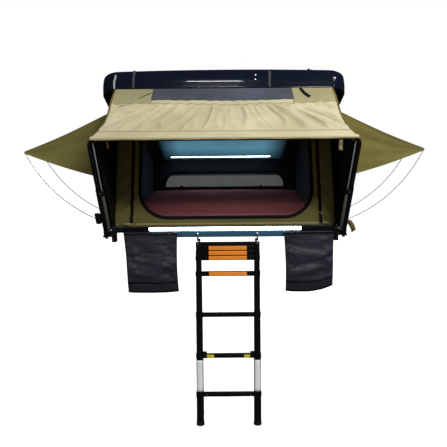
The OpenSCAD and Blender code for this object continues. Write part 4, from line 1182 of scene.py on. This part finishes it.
# Ladder: telescopic stiles with collars, ribbed rungs, latches and plain film bands
STILE_X, STILE_R, STILE_STEP, STILE_WALL = 0.199, 0.017, 0.0015, 0.0012
SECTION_LEN, LADDER_LEN = 0.308, 1.27
COLLAR_PROUD, COLLAR_HALF = 0.0025, 0.0165
RUNGS = (0.056, 0.090, 0.124, 0.233, 0.517, 0.803, 1.075)
RIB_INSET, RIB_HALF = 0.012, 0.0012


def rung_bar(low, high, ribs):
    """Rung between two corners, with fine ribs along its tread and its front."""
    parts = [rounded_box(low, high, 0.003)]
    left, right = low[0] + RIB_INSET, high[0] - RIB_INSET
    for k in range(ribs):
        share = (k + 1) / (ribs + 1)
        y = low[1] + (high[1] - low[1]) * share
        z = low[2] + (high[2] - low[2]) * share
        for rib in (((left, y - RIB_HALF, high[2] - 0.0005), (right, y + RIB_HALF, high[2] + 0.0009)),
                    ((left, low[1] - 0.0009, z - RIB_HALF), (right, low[1] + 0.0005, z + RIB_HALF))):
            parts.append(rounded_box(*rib, 0.0004, 1))
    return joined(parts)


def stile_wrap(x, radius):
    """Film round the front of a stile."""
    def place(u, v):
        turn = math.radians(-145 + 110 * u)
        return Vector((x + radius * math.cos(turn), radius * math.sin(turn), -1.05 + 0.22 * v))

    return cloth(20, 12, place, (0.045, 0.22))


def ladder_section(k):
    radius = STILE_R + STILE_STEP * (k - 1)
    down = RUNGS[k - 1]
    reach = LADDER_LEN - down if k == len(RUNGS) else SECTION_LEN
    gripped = k <= 4
    deep, tall = (0.024, 0.033) if gripped else (0.030, 0.028)
    span = STILE_X - radius + 0.0008

    def on_section(name, bm, finish, **more):
        add(name, bm, finish, f"ladder_{k}", at=LADDER, **more)

    parts = []
    for side, _ in SIDES:
        at = moved(side * STILE_X, 0, -down)
        parts.append(put(tube(radius, -reach, 0.0, STILE_WALL), at))
        collar = tube(radius + COLLAR_PROUD, -COLLAR_HALF, COLLAR_HALF, STILE_WALL + COLLAR_PROUD)
        parts.append(put(collar, at))
    parts.append(rung_bar((-span, -deep / 2, -down - tall / 2), (span, deep / 2, -down + tall / 2), 3))
    if k == 1:
        half = STILE_X + 0.0195
        parts.append(rounded_box((-half, -0.012, -0.0405), (half, 0.012, -0.014), 0.003))
        ear_x = STILE_X - 0.00615
        parts.append(box_row((-ear_x, ear_x), 0.0055, (-0.008, -0.04), (0.008, 0.009), 0.002))
    on_section(f"ladder_tubes_{k}", joined(parts), ANODISED, replaces=f"ladder_section_{k}")
    if k in (1, 7):
        x, y, z = (STILE_X + 0.004, -0.012, -0.0265) if k == 1 else (0.152, -0.015, -down - 0.004)
        bolts = joined(facing_front(drum(0.0052, -0.002, 0.002, 0.001, 20), side * x, y, z)
                       for side, _ in SIDES)
        on_section(f"ladder_bolts_{k}", bolts, ALUMINIUM)
    if gripped:
        grip = rung_bar((-0.13, -0.015, -down - 0.014), (0.13, 0.015, -down + 0.014), 4)
        on_section(f"rung_grip_{k}_ribbed", grip, ORANGE, replaces=f"rung_grip_{k}")
    if k == 6:
        latch_x = STILE_X - radius - 0.012
        latches = box_row((-latch_x, latch_x), 0.013, (-0.0285, -down - 0.012), (-0.0172, -down + 0.036),
                          0.003)
        bands = joined(rounded_box((x0, -0.0168, -down - 0.0105), (x1, -0.0148, -down + 0.0105), 0.0006, 1)
                       for x0, x1 in ((-0.162, -0.1), (0.107, 0.163)))
        wraps = joined(stile_wrap(side * STILE_X, radius + 0.00015) for side, _ in SIDES)
        on_section("ladder_latches", latches, BLACK_PLASTIC)
        on_section("ladder_rung_bands", bands, YELLOW_LABEL)
        on_section("ladder_stile_wraps", wraps, SILVER_LABEL, thick=0.0001)


for number in range(1, len(RUNGS) + 1):
    ladder_section(number)

# Fittings: collar bolts, boots on the hood rods, a pull tab, caps, a clip, straps, studs and rivets
collar_bolts = joined(facing_front(drum(0.0055, 0.0, 0.004, 0.001), side * 0.796, -0.012, 0.376)
                      for side, _ in SIDES)
add("bow_collar_bolts", collar_bolts, ALUMINIUM, "bow_sleeves", at=BOW)
for side, name in SIDES:
    socket = EDGE @ moved(side * TRAY_HALF, 0.250, -0.028) @ rotated(side * QUARTER, "Y")
    add("rod_boot_" + name, drum(0.0085, 0.026, 0.075, 0.003), RUBBER, at=socket)
run = ((0.838, -0.02, 0.034), (0.856, -0.021, 0.022), (0.87, -0.022, 0.0), (0.88, -0.02, -0.022),
       (0.884, -0.018, -0.04))
add("tray_pull_tab", ribbon(run, (0.03, 0.006, 0.018), 0.1), BROWN_WEB, slot="canvas", at=EDGE, thick=0.0016)
caps = box_row((-0.7595, 0.7595), 0.0145, (-0.046, -0.004), (-0.001, -0.0004), 0.0012, 2)
add("bow_bracket_caps", caps, BLACK_PLASTIC, at=EDGE)
clip = rounded_box((-0.866, -0.011, 0.115), (-0.828, 0.011, 0.205), 0.0105, 4)
add("rod_clip", clip, BLACK_PLASTIC, "bow_sleeves", at=BOW)
for name, x in (("left", -0.662), ("right", 0.339)):
    run = [(x, 0.03, 0.157), (x, 0.012, 0.152), (x, -0.002, 0.128), (x - 0.002, -0.0055, 0.09),
           (x - 0.003, -0.0055, 0.05), (x - 0.004, -0.004, 0.004)]
    add("lid_strap_" + name, ribbon(run, (0.02, 0, 0), 0.2), STRAP_WEB, "lid", at=LID, thick=0.0018)
studs = joined((drum(0.009, 0.13, 0.166, 0.003), put(drum(0.006, 0.13, 0.16, 0.002), moved(0.02, 0, 0))))
add("lid_studs", studs, BLACK_PLASTIC, "lid", "rubber", at=LID @ moved(0.632, 0.03, 0))
rivets = joined(facing_front(drum(0.006, -0.002, 0.003, 0.0015), x, -0.0015, h)
                for x, h in ((0.233, 0.104), (0.82, 0.075), (0.232, 0.07)))
add("lid_rivets", rivets, ALUMINIUM, "lid", at=LID)
